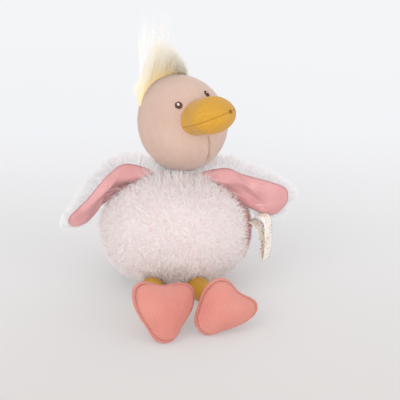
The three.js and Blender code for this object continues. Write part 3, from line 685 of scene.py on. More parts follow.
def strands(name, roots, out, length, radius, rng, rings=4, wave=0.0, turns=1.0, drift=None, taper=0.7,
            facing=None, flat=1.0):
    """Many strands as one mesh. drift is how far a tip leaves its line, facing how it takes the light."""
    points, faces = strand_template(rings)
    count, per = len(roots), len(points)
    out = unit(out)
    side, front = across(out)
    if facing is not None:
        facing = unit(facing)
        side = unit(np.cross(facing, out) + 0.05 * side)
        front = np.cross(out, side)
    given = (length, radius, wave, turns)
    length, radius, wave, turns = (np.broadcast_to(values, (count,))[:, None] for values in given)
    phase = rng.uniform(0, 2 * math.pi, (count, 1))
    along = points[:, 2][None, :]
    ring = np.hypot(points[:, 0], points[:, 1])
    angle = np.arctan2(points[:, 1], points[:, 0])
    angle = (angle - angle[np.flatnonzero(ring > 0)[0]] - math.pi / 2)[None, :]
    thick = radius * np.where(along >= 1, 0, (1 - along * 0.92) ** taper) * (ring > 0)
    swing = wave * along ** 0.6
    curl = phase + 2 * math.pi * turns * along
    sideways = swing * (np.cos(curl) - np.cos(phase)) + thick * np.cos(angle)
    forwards = swing * (np.sin(curl) - np.sin(phase)) + thick * np.sin(angle) * flat
    placed = roots[:, None, :] + out[:, None, :] * (length * along)[..., None]
    placed = placed + side[:, None, :] * sideways[..., None] + front[:, None, :] * forwards[..., None]
    if drift is not None:
        placed = placed + drift[:, None, :] * (along ** 2)[..., None]
    placed[..., 2] = np.maximum(placed[..., 2], FLOOR_GAP * MM)
    corners = np.concatenate([np.array(f) for f in faces])
    totals = np.array([len(f) for f in faces])
    loops = (corners[None, :] + np.arange(count)[:, None] * per).ravel()
    starts = np.concatenate([[0], np.cumsum(totals)[:-1]])
    starts = (starts[None, :] + np.arange(count)[:, None] * len(corners)).ravel()
    mesh = bpy.data.meshes.new(name)
    mesh.vertices.add(count * per)
    mesh.vertices.foreach_set("co", placed.astype(np.float32).ravel())
    mesh.loops.add(len(loops))
    mesh.loops.foreach_set("vertex_index", loops.astype(np.int32))
    mesh.polygons.add(len(starts))
    mesh.polygons.foreach_set("loop_start", starts.astype(np.int32))
    mesh.update(calc_edges=True)
    mesh.shade_smooth()
    for label, values in (
        ("along", np.broadcast_to(along, (count, per))),
        ("tone", np.broadcast_to(rng.uniform(0, 1, (count, 1)), (count, per))),
    ):
        attribute = mesh.attributes.new(label, "FLOAT", "POINT")
        attribute.data.foreach_set("value", values.astype(np.float32).ravel())
    if facing is not None:
        rim = np.stack([np.cos(angle[0]), np.sin(angle[0])], axis=1) * (ring > 1e-6)[:, None]
        ways = np.array([rim[f].mean(0) for f in faces])
        ways = np.repeat(ways / np.maximum(np.linalg.norm(ways, axis=1), 0.1)[:, None], totals, axis=0)
        lit = facing[:, None] + 0.9 * (side[:, None] * ways[None, :, :1] + front[:, None] * ways[None, :, 1:])
        mesh.normals_split_custom_set(unit(lit).reshape(-1, 3).astype(np.float32))
    return mesh


def give_tone(mesh, tone):
    """Gives each strand of a mesh its own tone."""
    each = np.repeat(tone, len(mesh.vertices) // len(tone))
    mesh.attributes["tone"].data.foreach_set("value", each.astype(np.float32))


def scattered(bm, count, rng, weight=None):
    """Points spread over a bmesh's faces by area, with the normals there."""
    triangles = bm.calc_loop_triangles()
    corners = np.array([[loop.vert.co for loop in tri] for tri in triangles])
    normals = np.array([[loop.vert.normal for loop in tri] for tri in triangles])
    area = np.linalg.norm(np.cross(corners[:, 1] - corners[:, 0], corners[:, 2] - corners[:, 0]), axis=1)
    if weight is not None:
        area = area * weight(corners.mean(1))
    chosen = rng.choice(len(area), count, p=area / area.sum())
    first, second = rng.uniform(0, 1, (2, count, 1))
    over = first + second > 1
    first, second = np.where(over, 1 - first, first), np.where(over, 1 - second, second)
    third = 1 - first - second
    spots = corners[chosen, 0] * first + corners[chosen, 1] * second + corners[chosen, 2] * third
    out = normals[chosen, 0] * first + normals[chosen, 1] * second + normals[chosen, 2] * third
    return spots, unit(out)


def smooth_step(values, low, high):
    """0 below low, 1 above high, and smooth between."""
    share = np.clip((values - low) / (high - low), 0, 1)
    return share * share * (3 - 2 * share)


def head_frame():
    """The head's own axes: the bill along -Y, the crown along +Z."""
    return turned(HEAD_TURN, "Z") @ turned(HEAD_PITCH, "X") @ turned(HEAD_ROLL, "Y")


def foot_frame(foot):
    """A foot's own axes: the sole faces +Z, and the notch is towards +Y."""
    return turned(foot["turn"], "Z") @ turned(90 - foot["recline"], "X") @ turned(-foot["lean"], "Z")


def low_lobe(points):
    """Points of the right foot, with its upper lobe pressed down under the belly, in metres."""
    high = np.maximum(points[:, 2] - 0.020, 0)
    points[:, 2] -= 0.24 * high
    points[:, 0] += 0.10 * high
    return points


def seam_loops(normal, *offsets):
    """Edge loops on and beside a seam, for a skin's directions."""
    return [(normal, sign * offset) for offset in offsets for sign in ((1, -1) if offset else (1,))]


# Operators


class BIRD_OT_body(Operator):
    """Front of the body in curly pile, back in plush, sewn at the sides"""

    bl_idname = "bird.body"
    bl_label = "Body"

    def execute(self, context):
        look, size = colours(), sizes()
        skin = Skin(["body_front", "body_back"], FINE, turned(-BODY_SEAM_TURN, "Z"), mm(BODY_CENTRE))
        behind = skin.home[:, 1] - self.seam_line(skin.home)
        away = behind * skin.far
        back = smooth_step(behind, -0.05, 0.1)
        inset = size.pile_inset * (1 - back) + 0.0022 * back
        lumps = 0.0008 * skin.ripple(34) + 0.0009 * skin.ripple(150, 1) * (1 - back)
        skin.push(lumps - inset + seam(away, 0.0012, 0.003))
        ground = cloth_material("Knitted ground", look.curl_tip, look.curl_root)
        plush = cloth_material("Dusty plush ground", look.nap_root, look.nap_tip)
        front_cloth = skin.panel(lambda way: way[:, 1] < self.seam_line(way))
        back_cloth = skin.panel(lambda way: way[:, 1] >= self.seam_line(way))
        rng = np.random.default_rng(SEEDS["body"])
        curl = strand_material("Curly pile", look.curl_root, look.curl_tip, 0.9, passing=0.7)
        for k in range(3):
            curls(f"belly_curls_{k + 1}", *scattered(front_cloth, size.curl_count, rng), rng, curl, "torso")
        shoulders = lambda spots: spots[:, 2] > SHOULDER_LEVEL
        roots, out = scattered(back_cloth, size.shoulder_count, rng, shoulders)
        curls("shoulder_curls", roots, out, rng, curl, "torso")
        roots, out = scattered(back_cloth, size.nap_count, rng)
        lean = out + rng.normal(0, 0.35, roots.shape) + np.array([0, 0, -0.45])
        long = size.nap_length * rng.uniform(0.7, 1.2, len(roots))
        mesh = strands("back_nap", roots, lean, long, 0.0003, rng, rings=2, facing=out)
        nap = strand_material("Dusty plush pile", look.nap_root, look.nap_tip, 0.6, passing=0.4)
        piece_of(mesh, nap, "torso")
        for node, bm, cloth, slot in (
            ("body_front", front_cloth, ground, "curly_plush"),
            ("body_back", back_cloth, plush, "dusty_plush"),
        ):
            piece(f"{node}_cloth", bm, cloth, "torso", [node], size.cloth_wall)
        return {"FINISHED"}

    def seam_line(self, way):
        """Where the body's side seam is: the back comes forward over the shoulders and at the right side."""
        high = way[:, 2]
        shoulder = smooth_step(high, 0.12, 0.5) * (1 - smooth_step(high, 0.86, 0.98))
        right = smooth_step(way[:, 0], 0.2, 0.7) * (1 - smooth_step(high, 0.1, 0.5))
        right *= smooth_step(high, -0.95, -0.6)
        return -0.07 * shoulder - 0.2 * right


def curls(name, roots, out, rng, cloth, body):
    """Curly, tangled pile on the given roots, longer round the neck."""
    size = sizes()
    count = len(roots)
    from_neck = np.hypot(*(roots - np.array(mm(NECK_CENTRE)))[:, :2].T)
    ruff = smooth_step(from_neck, 0.010, 0.018) * (1 - smooth_step(from_neck, 0.028, 0.052))
    ruff *= roots[:, 2] > 0.08
    stray = rng.uniform(0, 1, count) < STRAY_SHARE
    lie = np.where(stray, 0.45, 1.0)[:, None] * (1 - 0.6 * ruff[:, None])
    lean = 0.62 * out + rng.normal(0, 0.75, roots.shape) * lie + np.array([0, -0.05, -0.1])
    lean += out * np.maximum(0.3 - (lean * out).sum(1), 0)[:, None]
    long = size.curl_length * rng.uniform(0.6, 1.2, count)
    long = (long + size.ruff_length * ruff * rng.uniform(0.5, 1.1, count)) * np.where(stray, 1.25, 1.0)
    thick = size.curl_radius * np.where(stray, 0.5, 1.2) * rng.uniform(0.8, 1.25, count)
    wave, turns = rng.uniform(0.0008, 0.0019, count), rng.uniform(0.7, 1.4, count)
    facing = out + 0.4 * lean + np.array([0, -0.28, 0.28])
    mesh = strands(name, roots, lean, long, thick, rng, rings=5, wave=wave, turns=turns, facing=facing,
                   flat=0.5)
    # Some curls take the root colour whole, painted shade standing in for the gaps between curls
    give_tone(mesh, np.where(rng.uniform(0, 1, count) < GAP_SHADE_SHARE, -1.2, rng.uniform(0.1, 1.1, count)))
    piece_of(mesh, cloth, body)


class BIRD_OT_neck(Operator):
    """Gathered cloth where the head is sewn to the body"""

    bl_idname = "bird.neck"
    bl_label = "Neck"

    def execute(self, context):
        look = colours()
        skin = Skin(["neck_wad"], COARSE, Matrix.Identity(3), mm(NECK_CENTRE), passes=3)
        angle = np.arctan2(skin.home[:, 1], skin.home[:, 0])
        upright = 1 - np.abs(skin.home[:, 2])
        skin.push(0.0009 * np.sin(angle * 17) * upright)
        cloth = cloth_material("Gathered neck", look.curl_tip, look.curl_root)
        rng = np.random.default_rng(SEEDS["neck"])
        level = NECK_CENTRE[2] * MM
        count = sizes().neck_count
        roots, out = scattered(skin.bm, count, rng, lambda spots: np.abs(spots[:, 2] - level) < 0.006)
        out = out + np.array([0, 0, 0.2])
        curls("neck_curls", roots, out, rng, bpy.data.materials["Curly pile"], "neck")
        piece("neck_gather", skin.bm, cloth, "neck", ["neck_wad"], 0)
        return {"FINISHED"}


class BIRD_OT_head(Operator):
    """Head in velour: one front with a dart under the chin, one back, and the seam between them"""

    bl_idname = "bird.head"
    bl_label = "Head"

    def execute(self, context):
        look, size = colours(), sizes()
        turn = head_frame()
        centre = mm(HEAD_CENTRE)
        pivot = centre + turn @ Vector((0, HEAD_SEAM_BACK * MM, 0))
        loops = seam_loops((0, 1, 0), 0, 0.016, 0.036, 0.06) + seam_loops((1, 0, 0), 0, 0.015, 0.035)
        skin = Skin(["head_front", "head_back"], FINE, turn, pivot, loops=loops)
        home = skin.home
        ring = home[:, 1] * skin.far
        dart = home[:, 0] * skin.far
        under = smooth_step(-home[:, 2], 0.3, 0.4) * smooth_step(-home[:, 1], 0.38, 0.6)
        pucker = 1 + 0.35 * skin.ripple(260)
        rise = seam(ring, size.seam_depth * 1.2, 0.0011, 0.5) * pucker
        rise += seam(dart, size.seam_depth * 1.3, 0.0013, 0.5) * under * pucker
        dimple = np.hypot(dart, (home[:, 2] + 0.36) * skin.far) / 0.0035
        rise -= 0.0011 * np.exp(-dimple ** 2) * (home[:, 1] < 0)
        rise += 0.0006 * skin.ripple(38, 3)
        skin.push(rise)
        around = np.arctan2(home[:, 0], np.abs(home[:, 1]))
        cut = np.stack([around, np.arcsin(np.clip(home[:, 2], -1, 1))], axis=1) * 0.047
        # The seam attribute darkens the ring seam and the dart under the chin, painted shade in their grooves
        skin.mark(np.exp(-(ring / 0.0007) ** 2) + 0.8 * np.exp(-(dart / 0.0008) ** 2) * under, cut)
        velour = cloth_material("Head velour", look.velour, look.velour_shade)
        nodes = ("head_front", "head_back")
        panels(skin, nodes, lambda way: way[:, 1] < 0, velour, "head")
        return {"FINISHED"}


class BIRD_OT_beak(Operator):
    """Bill in two halves with a stitched mouth seam"""

    bl_idname = "bird.beak"
    bl_label = "Bill"

    def execute(self, context):
        look, size = colours(), sizes()
        turn = head_frame()
        centre = mm(HEAD_CENTRE)
        start = centre + turn @ mm((0, -44, -0.3))
        end = centre + turn @ mm((0, -66, -2.2))
        nodes = ("beak_upper", "beak_lower")
        loops = seam_loops((0, 0, 1), 0, 0.022, 0.05, 0.1)
        skin = Skin(nodes, COARSE, turn, start, end, loops=loops, reach=0.08)
        away = skin.home[:, 2] * skin.far
        blunt = smooth_step(-skin.home[:, 1], 0.75, 0.98)
        local = skin.local(centre)
        far = smooth_step(-local[:, 1], 0.052, 0.068)
        local[:, 1] += 0.004 * smooth_step(skin.home[:, 1], -0.35, 0.1)
        local[:, 0] *= 1 + 0.22 * far
        local[:, 2] *= 1 + 0.2 * far
        skin.points = np.array(centre) + local @ np.array(turn).T
        skin.store()
        lumps = 0.0003 * skin.ripple(60, 5)
        skin.push(seam(away, size.seam_depth * 0.3, 0.0006, 0.4) + lumps + 0.0008 * blunt)
        # The seam attribute darkens the mouth seam a little, painted shade in its groove
        skin.mark(0.2 * np.exp(-(away / 0.0006) ** 2), skin.local(centre))
        cloth = cloth_material("Mustard velour", look.mustard, look.mustard_shade)
        rim = np.abs(skin.home[:, 2]) < 1e-4
        order = np.argsort(np.arctan2(skin.home[rim, 0], -skin.home[rim, 1]))
        panels(skin, nodes, lambda way: way[:, 2] >= 0, cloth, "head")
        self.stitches(skin.points[rim][order], skin.normals[rim][order], np.array(turn.col[2]))
        return {"FINISHED"}

    def stitches(self, line, outward, up):
        """Small stitches beside the mouth seam, and the brown stitches that cross near its middle."""
        step = run_along(line)
        places = np.arange(step[-1] * 0.2, step[-1] * 0.8, STITCH_GAP)
        spots, outs = between(places, step, line), between(places, step, outward)
        way = unit(np.gradient(spots, axis=0))
        rng = np.random.default_rng(SEEDS["beak"])
        starts = spots + outs * 0.0009 + up * 0.0006 - way * 0.0006
        mesh = strands("beak_stitches", starts, way, 0.0013, 0.00022, rng, rings=3, taper=0.3)
        thread = strand_material("Bill thread", *(rgb(*c) for c in BILL_THREAD), 0.3)
        piece_of(mesh, thread, "head")
        k = int(len(spots) * CROSS_STITCH_AT)
        legs = [way[k] * a + up * b for a, b in ((1, 1), (-1, 1), (1, -1), (-1, -1), (0.2, 1.2), (1.2, 0.1))]
        knot = np.repeat((spots[k] + outs[k] * 0.0011)[None, :], len(legs), axis=0)
        mesh = strands("beak_cross_stitch", knot, np.array(legs), 0.0029, 0.00046, rng, rings=3, taper=0.3)
        brown = strand_material("Bill cross thread", *(rgb(*c) for c in CROSS_THREAD), 0.3)
        piece_of(mesh, brown, "head")


class BIRD_OT_eyes(Operator):
    """Eyes embroidered in brown thread round a white knot"""

    bl_idname = "bird.eyes"
    bl_label = "Eyes"

    def execute(self, context):
        look = colours()
        brown = strand_material("Brown thread", look.thread, shaded(look.thread, 1.5), 0.5, 0.45)
        white = cloth_material("White thread", *(rgb(*c) for c in KNOT_THREAD))
        turn = head_frame()
        centre = mm(HEAD_CENTRE)
        head = BVHTree.FromObject(bpy.data.objects["head_front_cloth"], context.evaluated_depsgraph_get())
        rng = np.random.default_rng(SEEDS["eyes"])
        for name, (side, wide, tall) in EYES.items():
            azimuth, elevation = math.radians(side * EYE_AZIMUTH), math.radians(EYE_ELEVATION)
            level = math.cos(elevation)
            way = turn @ Vector((math.sin(azimuth) * level, -math.cos(azimuth) * level, math.sin(elevation)))
            spot, normal = head.ray_cast(centre + way * 0.1, -way)[:2]
            right = (turn @ Vector((1, 0, 0))).cross(normal).cross(normal).normalized() * -1
            up = normal.cross(right)
            roots, outs, lengths = [], [], []
            for layer, (inner, outer, count) in enumerate(EYE_LAYERS):
                for k in range(count):
                    angle = 2 * math.pi * (k + 0.5 * layer + rng.uniform(-0.15, 0.15)) / count
                    flat = right * math.cos(angle) * 0.92 * wide + up * math.sin(angle) * tall
                    roots.append(spot + flat * inner + normal * (0.0004 + 0.0003 * layer))
                    outs.append(flat * (outer - inner) - normal * (0.00028 + 0.1 * (outer ** 2)))
                    lengths.append((outer - inner) * rng.uniform(0.92, 1.06))
            roots, outs = np.array(roots), np.array(outs)
            mesh = strands(f"eye_{name}_thread", roots, outs, lengths, 0.00036, rng, rings=3, taper=0.3)
            piece_of(mesh, brown, "head", [f"eye_{name}"])
            bm = bmesh.new()
            bmesh.ops.create_uvsphere(bm, u_segments=20, v_segments=12, radius=1)
            place = Matrix.Translation(spot + up * 0.0009 + normal * 0.0006)
            place = place @ Matrix((right, up, normal)).transposed().to_4x4()
            place = place @ Matrix.Diagonal((0.0012 * wide, 0.0015 * wide, 0.0009, 1))
            bmesh.ops.transform(bm, matrix=place, verts=bm.verts[:])
            piece(f"eye_{name}_knot", bm, white, "head")
        return {"FINISHED"}


class BIRD_OT_hair(Operator):
    """Tuft of long hair sewn in over the crown"""

    bl_idname = "bird.hair"
    bl_label = "Tuft"

    def execute(self, context):
        look, size = colours(), sizes()
        rng = np.random.default_rng(SEEDS["hair"])
        turn = np.array(head_frame())
        centre = np.array(mm(HEAD_CENTRE))
        count = size.hair_count
        wisp = rng.uniform(0, 1, count) < WISP_SHARE
        in_wisp = len(HAIR_LOCKS) + rng.integers(0, len(HAIR_WISPS), count)
        lock = np.where(wisp, in_wisp, rng.integers(0, len(HAIR_LOCKS), count))
        table = np.array(HAIR_LOCKS + HAIR_WISPS, float)
        angle = np.radians(table[lock, 0] + rng.normal(0, 2.6, count))
        ring = math.sqrt(1 - (HEAD_SEAM_BACK / HEAD_SIDE) ** 2)
        back = HEAD_SEAM_BACK + rng.uniform(-1.8, 1.8, count)
        wide, tall = HEAD_SIDE * ring, HEAD_UP * ring
        local = np.stack([np.sin(angle) * wide, back, np.cos(angle) * tall], axis=1) * MM
        roots = centre + local @ turn.T
        away = unit(local) @ turn.T
        gather = rng.normal(0, 1, (count, 3)) * np.where(wisp, 2.4, 2.6)[:, None] * MM
        reach = np.where(wisp, rng.uniform(0.5, 1.0, count), rng.uniform(0.5, 1.03, count) ** 0.6)
        whole = table[lock, 1:] * MM + gather - roots
        tips = roots + whole * reach[:, None]
        span = np.linalg.norm(tips - roots, axis=1)
        lean = unit(away * 0.5 + unit(whole) * 0.6)
        long = span * 0.55
        drift = tips - roots - lean * long[:, None]
        radius = np.where(wisp, 0.00013, 0.00030) * rng.uniform(0.7, 1.2, count)
        facing = 0.5 * away + np.array([0, -0.5, 0.7])
        mesh = strands("hair_tuft_strands", roots - away * 0.0005, lean, long, radius, rng, rings=6,
                       wave=0.0005, turns=0.8, drift=drift, facing=facing)
        give_tone(mesh, np.where(wisp, 1.5, 0.34) + rng.normal(0, 0.13, count))
        pale = strand_material("Pale hair", look.hair_root, look.hair_tip, 0.9, passing=0.8)
        piece_of(mesh, pale, "head", ["hair_tuft"])
        return {"FINISHED"}


def side_seam(side, degrees, outward):
    """A point of the body's side seam, at degrees above its widest level and millimetres outward."""
    half = np.array(BODY_SIZE) / 2
    turn = math.radians(BODY_SEAM_TURN)
    flat = np.array([side * math.cos(turn), -side * math.sin(turn), 0])
    reach = 1 / math.hypot(flat[0] / half[0], flat[1] / half[1])
    point = flat * reach * math.cos(math.radians(degrees))
    normal = point / reach ** 2
    point[2] = half[2] * math.sin(math.radians(degrees))
    normal[2] = point[2] / half[2] ** 2
    return (point + np.array(BODY_CENTRE) + normal / np.linalg.norm(normal) * outward) * MM


def edge_curve(points):
    """A smooth edge through the points, as a lookup from shares of its length."""
    fine = np.array(rounded_line([Vector(p) for p in points], WING_EDGE_POINTS))
    share = np.linspace(0, 1, len(fine))
    return lambda at: between(at, share, fine)


def outline_reach(angle):
    """How far a wing's flat outline is from its middle: square at the root, round at the tip."""
    x, y = np.cos(angle), np.sin(angle)
    power = np.where(x > 0, 3.0, 7)
    return 1 / (np.abs(x) ** power + np.abs(y) ** power) ** (1 / power)


def pad_height(share):
    """Half of a wing's padding, by the share of the way from its middle to its outline."""
    return WING_HALF * MM * np.maximum(1 - share ** 2.4, 0) ** 0.62


class Wing:
    """A wing's middle sheet between its lower and upper edge, and the two padded sides of it."""

    def __init__(self, wing):
        self.side = wing["side"]
        bottom, top = WING_ROOTS
        root = (side_seam(self.side, bottom, WING_GAP) + side_seam(self.side, top, WING_GAP)) / 2
        heights = (bottom, (bottom + WING_NECK) / 2, WING_NECK)
        low, middle, neck = (side_seam(self.side, degrees, -WING_SUNK) for degrees in heights)
        self.bulge = middle - (low + neck) / 2
        self.upper = edge_curve([neck, *(root + np.array(p) * MM for p in wing["upper"])])
        self.lower = edge_curve([low, *(root + np.array(p) * MM for p in wing["lower"])])

    def sheet(self, x, y):
        """Points of the middle sheet: x runs from root to tip, y from the lower to the upper edge."""
        along = (x + 1) / 2
        low, high = self.lower(along), self.upper(along)
        bulge = ((1 - y * y) * (1 - along) ** 4)[:, None] * self.bulge
        return low + (high - low) * ((y + 1) / 2)[:, None] + bulge

    def middle(self):
        """The middle of the sheet."""
        return self.sheet(np.zeros(1), np.zeros(1))[0]

    def ways(self, x, y):
        """The ways towards the tip, the upper edge and the front."""
        step = 0.02
        x = np.clip(x, step - 1, 1 - step)
        tip = self.sheet(x + step, y) - self.sheet(x - step, y)
        upper = self.sheet(x, y + step) - self.sheet(x, y - step)
        front = np.cross(tip, upper) * self.side
        return unit(tip), unit(upper), unit(front)

    def grid(self, face, puff):
        """One padded side, 1 for the front and -1 for the back. puff adds to its height at each spot."""
        bm = bmesh.new()
        bmesh.ops.create_grid(bm, x_segments=72, y_segments=40, size=1)
        flat = np.array([v.co for v in bm.verts])[:, :2]
        share = np.abs(flat).max(1)
        angle = np.arctan2(flat[:, 1], flat[:, 0])
        reach = outline_reach(angle) * share
        x, y = np.cos(angle) * reach, np.sin(angle) * reach
        height = face * pad_height(share) + puff(x, y, share)
        points = self.sheet(x, y) + self.ways(x, y)[2] * height[:, None]
        layer = bm.verts.layers.float.new("seam")
        # Painted shade: the lining darker in the recess by its root and lower edge, and both sides darker at
        # the seam round the rim, written as the seam attribute
        wing_painted_shade = 1.2 * (1 - smooth_step(x, -0.95, -0.15)) * (1 - smooth_step(y, -0.2, 0.5)) * (face > 0)
        wing_painted_shade = np.maximum(wing_painted_shade, 0.8 * smooth_step(share, 0.93, 0.985))
        for vertex, point, value in zip(bm.verts, clear_of_body(points), wing_painted_shade):
            vertex.co = point
            vertex[layer] = float(value)
        if face * self.side < 0:
            bmesh.ops.reverse_faces(bm, faces=bm.faces[:])
        bm.normal_update()
        return bm


def clear_of_body(points):
    """Moves points that are deeper in the body than the wings' roots out to that depth."""
    half = (np.array(BODY_SIZE) / 2 - WING_SUNK) * MM
    centre = np.array(BODY_CENTRE) * MM
    share = np.linalg.norm((points - centre) / half, axis=1)
    grow = np.where(share < 1, 1 / np.maximum(share, 0.5), 1)
    return centre + (points - centre) * grow[:, None]


class BIRD_OT_wings(Operator):
    """Wings with a smooth pink front and long white fur behind"""

    bl_idname = "bird.wings"
    bl_label = "Wings"

    def execute(self, context):
        look, size = colours(), sizes()
        lining = cloth_material("Pink lining", look.lining, look.lining_shade)
        backing = cloth_material("Fur backing", look.fur_tip, look.fur_root)
        fur = strand_material("White fur", look.fur_root, look.fur_tip, 1.0, passing=0.8)
        fibre = filling_material("Wing wadding", look.fibre)
        for name, data in WINGS.items():
            wing = Wing(data)
            body = f"wing_{name}"
            front = wing.grid(1, self.folds)
            back = wing.grid(-1, lambda x, y, share: 0.0 * x)
            self.fur(wing, body, fur)
            for kind, bm, cloth, slot in (
                ("lining", front, lining, "pink_lining"), ("fur", back, backing, "white_fur"),
            ):
                node = f"{body}_{kind}"
                piece(f"{node}_cloth", bm, cloth, body, [node], size.cloth_wall * 0.5)
            self.wadding(wing, body, fibre)
        return {"FINISHED"}

    def wadding(self, wing, body, fibre):
        """Thin wadding between a wing's two sides."""
        slack = WADDING_SLACK * MM
        pad = wing.grid(1, lambda x, y, share: self.folds(x, y, share) - slack * (1 - share ** 8))
        back = wing.grid(-1, lambda x, y, share: -slack * (1 - share ** 8))
        mesh = bpy.data.meshes.new("wadding back")
        back.to_mesh(mesh)
        back.free()
        pad.from_mesh(mesh)
        bpy.data.meshes.remove(mesh)
        middle = Matrix.Translation(-Vector(wing.middle()))
        bmesh.ops.scale(pad, vec=[WADDING_SHARE] * 3, space=middle, verts=pad.verts[:])
        bmesh.ops.remove_doubles(pad, verts=pad.verts[:], dist=2e-5)
        piece(f"{body}_wadding_fibre", pad, fibre, body, [f"{body}_wadding"], 0)

    def folds(self, x, y, share):
        """The lining's long fold under the upper edge, deepest at the root, and small creases."""
        inside = 1 - share ** 4
        near = 1 - smooth_step(x, -0.5, 0.9)
        ridge = np.exp(-((y - 0.45) / 0.25) ** 2) * 0.0030 - np.exp(-((y + 0.25) / 0.4) ** 2) * 0.0062
        crease = 0.0008 * np.sin(9 * x + 4 * y) * np.exp(-((x + 0.2) / 0.5) ** 2)
        return np.maximum((ridge * near + crease) * inside, -pad_height(share) - 0.0008 * inside)

    def fur(self, wing, body, fur):
        """Fur over the back of a wing and out past its edges."""
        size = sizes()
        rng = np.random.default_rng(SEEDS[body])
        count = size.fur_count
        rim = rng.uniform(0, 1, count) < RIM_SHARE
        angle = np.where(rim, rng.uniform(-0.35, math.pi * 0.9, count), rng.uniform(-math.pi, math.pi, count))
        share = np.where(rim, rng.uniform(0.9, 1.0, count), np.sqrt(rng.uniform(0, 1, count)))
        reach = outline_reach(angle) * share
        x, y = np.cos(angle) * reach, np.sin(angle) * reach
        tip, upper, front = wing.ways(x, y)
        roots = clear_of_body(wing.sheet(x, y) - front * (pad_height(share) - 0.0006)[:, None])
        edge = share ** 3
        lean = (tip * (0.75 + 0.45 * edge * np.maximum(x, 0))[:, None]
                + upper * (0.25 + 1.1 * edge * np.maximum(y, -0.1))[:, None]
                - front * (0.5 - 0.25 * edge)[:, None] + rng.normal(0, 0.2, (count, 3)))
        long = size.fur_length * rng.uniform(0.6, 1.0, count) * (1 - 0.5 * smooth_step(x, 0.2, 0.9))
        drift = (tip * 0.25 - np.array([0, 0, 0.12])) * long[:, None]
        facing = upper * 0.5 - front * (0.7 - 1.1 * edge)[:, None] + np.array([0, -0.1, 0.8])
        mesh = strands(f"{body}_fur_strands", roots, lean, long, 0.0003, rng, wave=0.0006, turns=0.6,
                       drift=drift, facing=facing)
        piece_of(mesh, fur, body)


class BIRD_OT_legs(Operator):
    """Legs, short stuffed tubes in mustard velour"""

    bl_idname = "bird.legs"
    bl_label = "Legs"

    def execute(self, context):
        look = colours()
        cloth = cloth_material("Leg velour", look.mustard, look.mustard_shade)
        for name, foot in FEET.items():
            hip, ankle = mm(foot["hip"]), mm(foot["ankle"])
            skin = Skin([f"leg_{name}_cover"], COARSE, Matrix.Identity(3), hip, ankle, reach=0.06)
            skin.push(0.0004 * skin.ripple(90, 9))
            body = f"leg_{name}"
            cover = [f"{body}_cover"]
            piece(f"{body}_cloth", skin.bm, cloth, body, cover, 0)
        return {"FINISHED"}


class BIRD_OT_feet(Operator):
    """Heart-shaped stuffed feet with a seam round the edge"""

    bl_idname = "bird.feet"
    bl_label = "Feet"

    def execute(self, context):
        look, size = colours(), sizes()
        cloth = cloth_material("Coral velour", look.coral, look.coral_shade)
        for name, foot in FEET.items():
            turn = foot_frame(foot)
            centre = mm(foot["ankle"]) + turn @ mm((0, -FOOT_RISE, FOOT_DEPTH))
            loops = [((0, 0, 1), FOOT_SEAM + gap) for gap in (-0.06, -0.03, 0, 0.03, 0.06)]
            body = f"foot_{name}"
            nodes = (f"{body}_sole", f"{body}_top")
            skin = Skin(nodes, FINE, turn, centre, loops=loops, reach=0.08)
            away = (skin.home[:, 2] - FOOT_SEAM) * skin.far
            pucker = 1 + 0.5 * skin.ripple(300, 2)
            skin.push(seam(away, size.seam_depth * 1.3, 0.0012, 0.5) * pucker + 0.0007 * skin.ripple(50, 4))
            # The seam attribute darkens the edge seam, painted shade in its groove
            skin.mark(np.exp(-(away / 0.0008) ** 2), skin.local(centre))
            if name == "right":
                skin.points = low_lobe(skin.points)
                skin.store()
            sole = lambda way: way[:, 2] >= FOOT_SEAM
            panels(skin, nodes, sole, cloth, body)
        return {"FINISHED"}


class BIRD_OT_stuffing(Operator):
    """Loose fibre inside the covers and the pouch of pellets low in the body"""

    bl_idname = "bird.stuffing"
    bl_label = "Filling"

    def execute(self, context):
        look = colours()
        fibre = filling_material("Loose fibre", look.fibre)
        pouch = filling_material("Pouch cloth", look.pouch)
        for name, (body, cloth) in FILLINGS.items():
            bm = bmesh.new()
            bm.from_mesh(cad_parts[name].data)
            bmesh.ops.remove_doubles(bm, verts=bm.verts[:], dist=1e-5)
            bm.normal_update()
            for vertex in bm.verts:
                vertex.co = vertex.co - vertex.normal * (0.0001 + 0.0002 * abs(noise.noise(vertex.co * 300)))
                if name == "foot_right_filling":
                    vertex.co = low_lobe(np.array([vertex.co]))[0]
            piece(f"{name}_fibre", bm, pouch if cloth == "pouch_cloth" else fibre, body, [name])
        return {"FINISHED"}


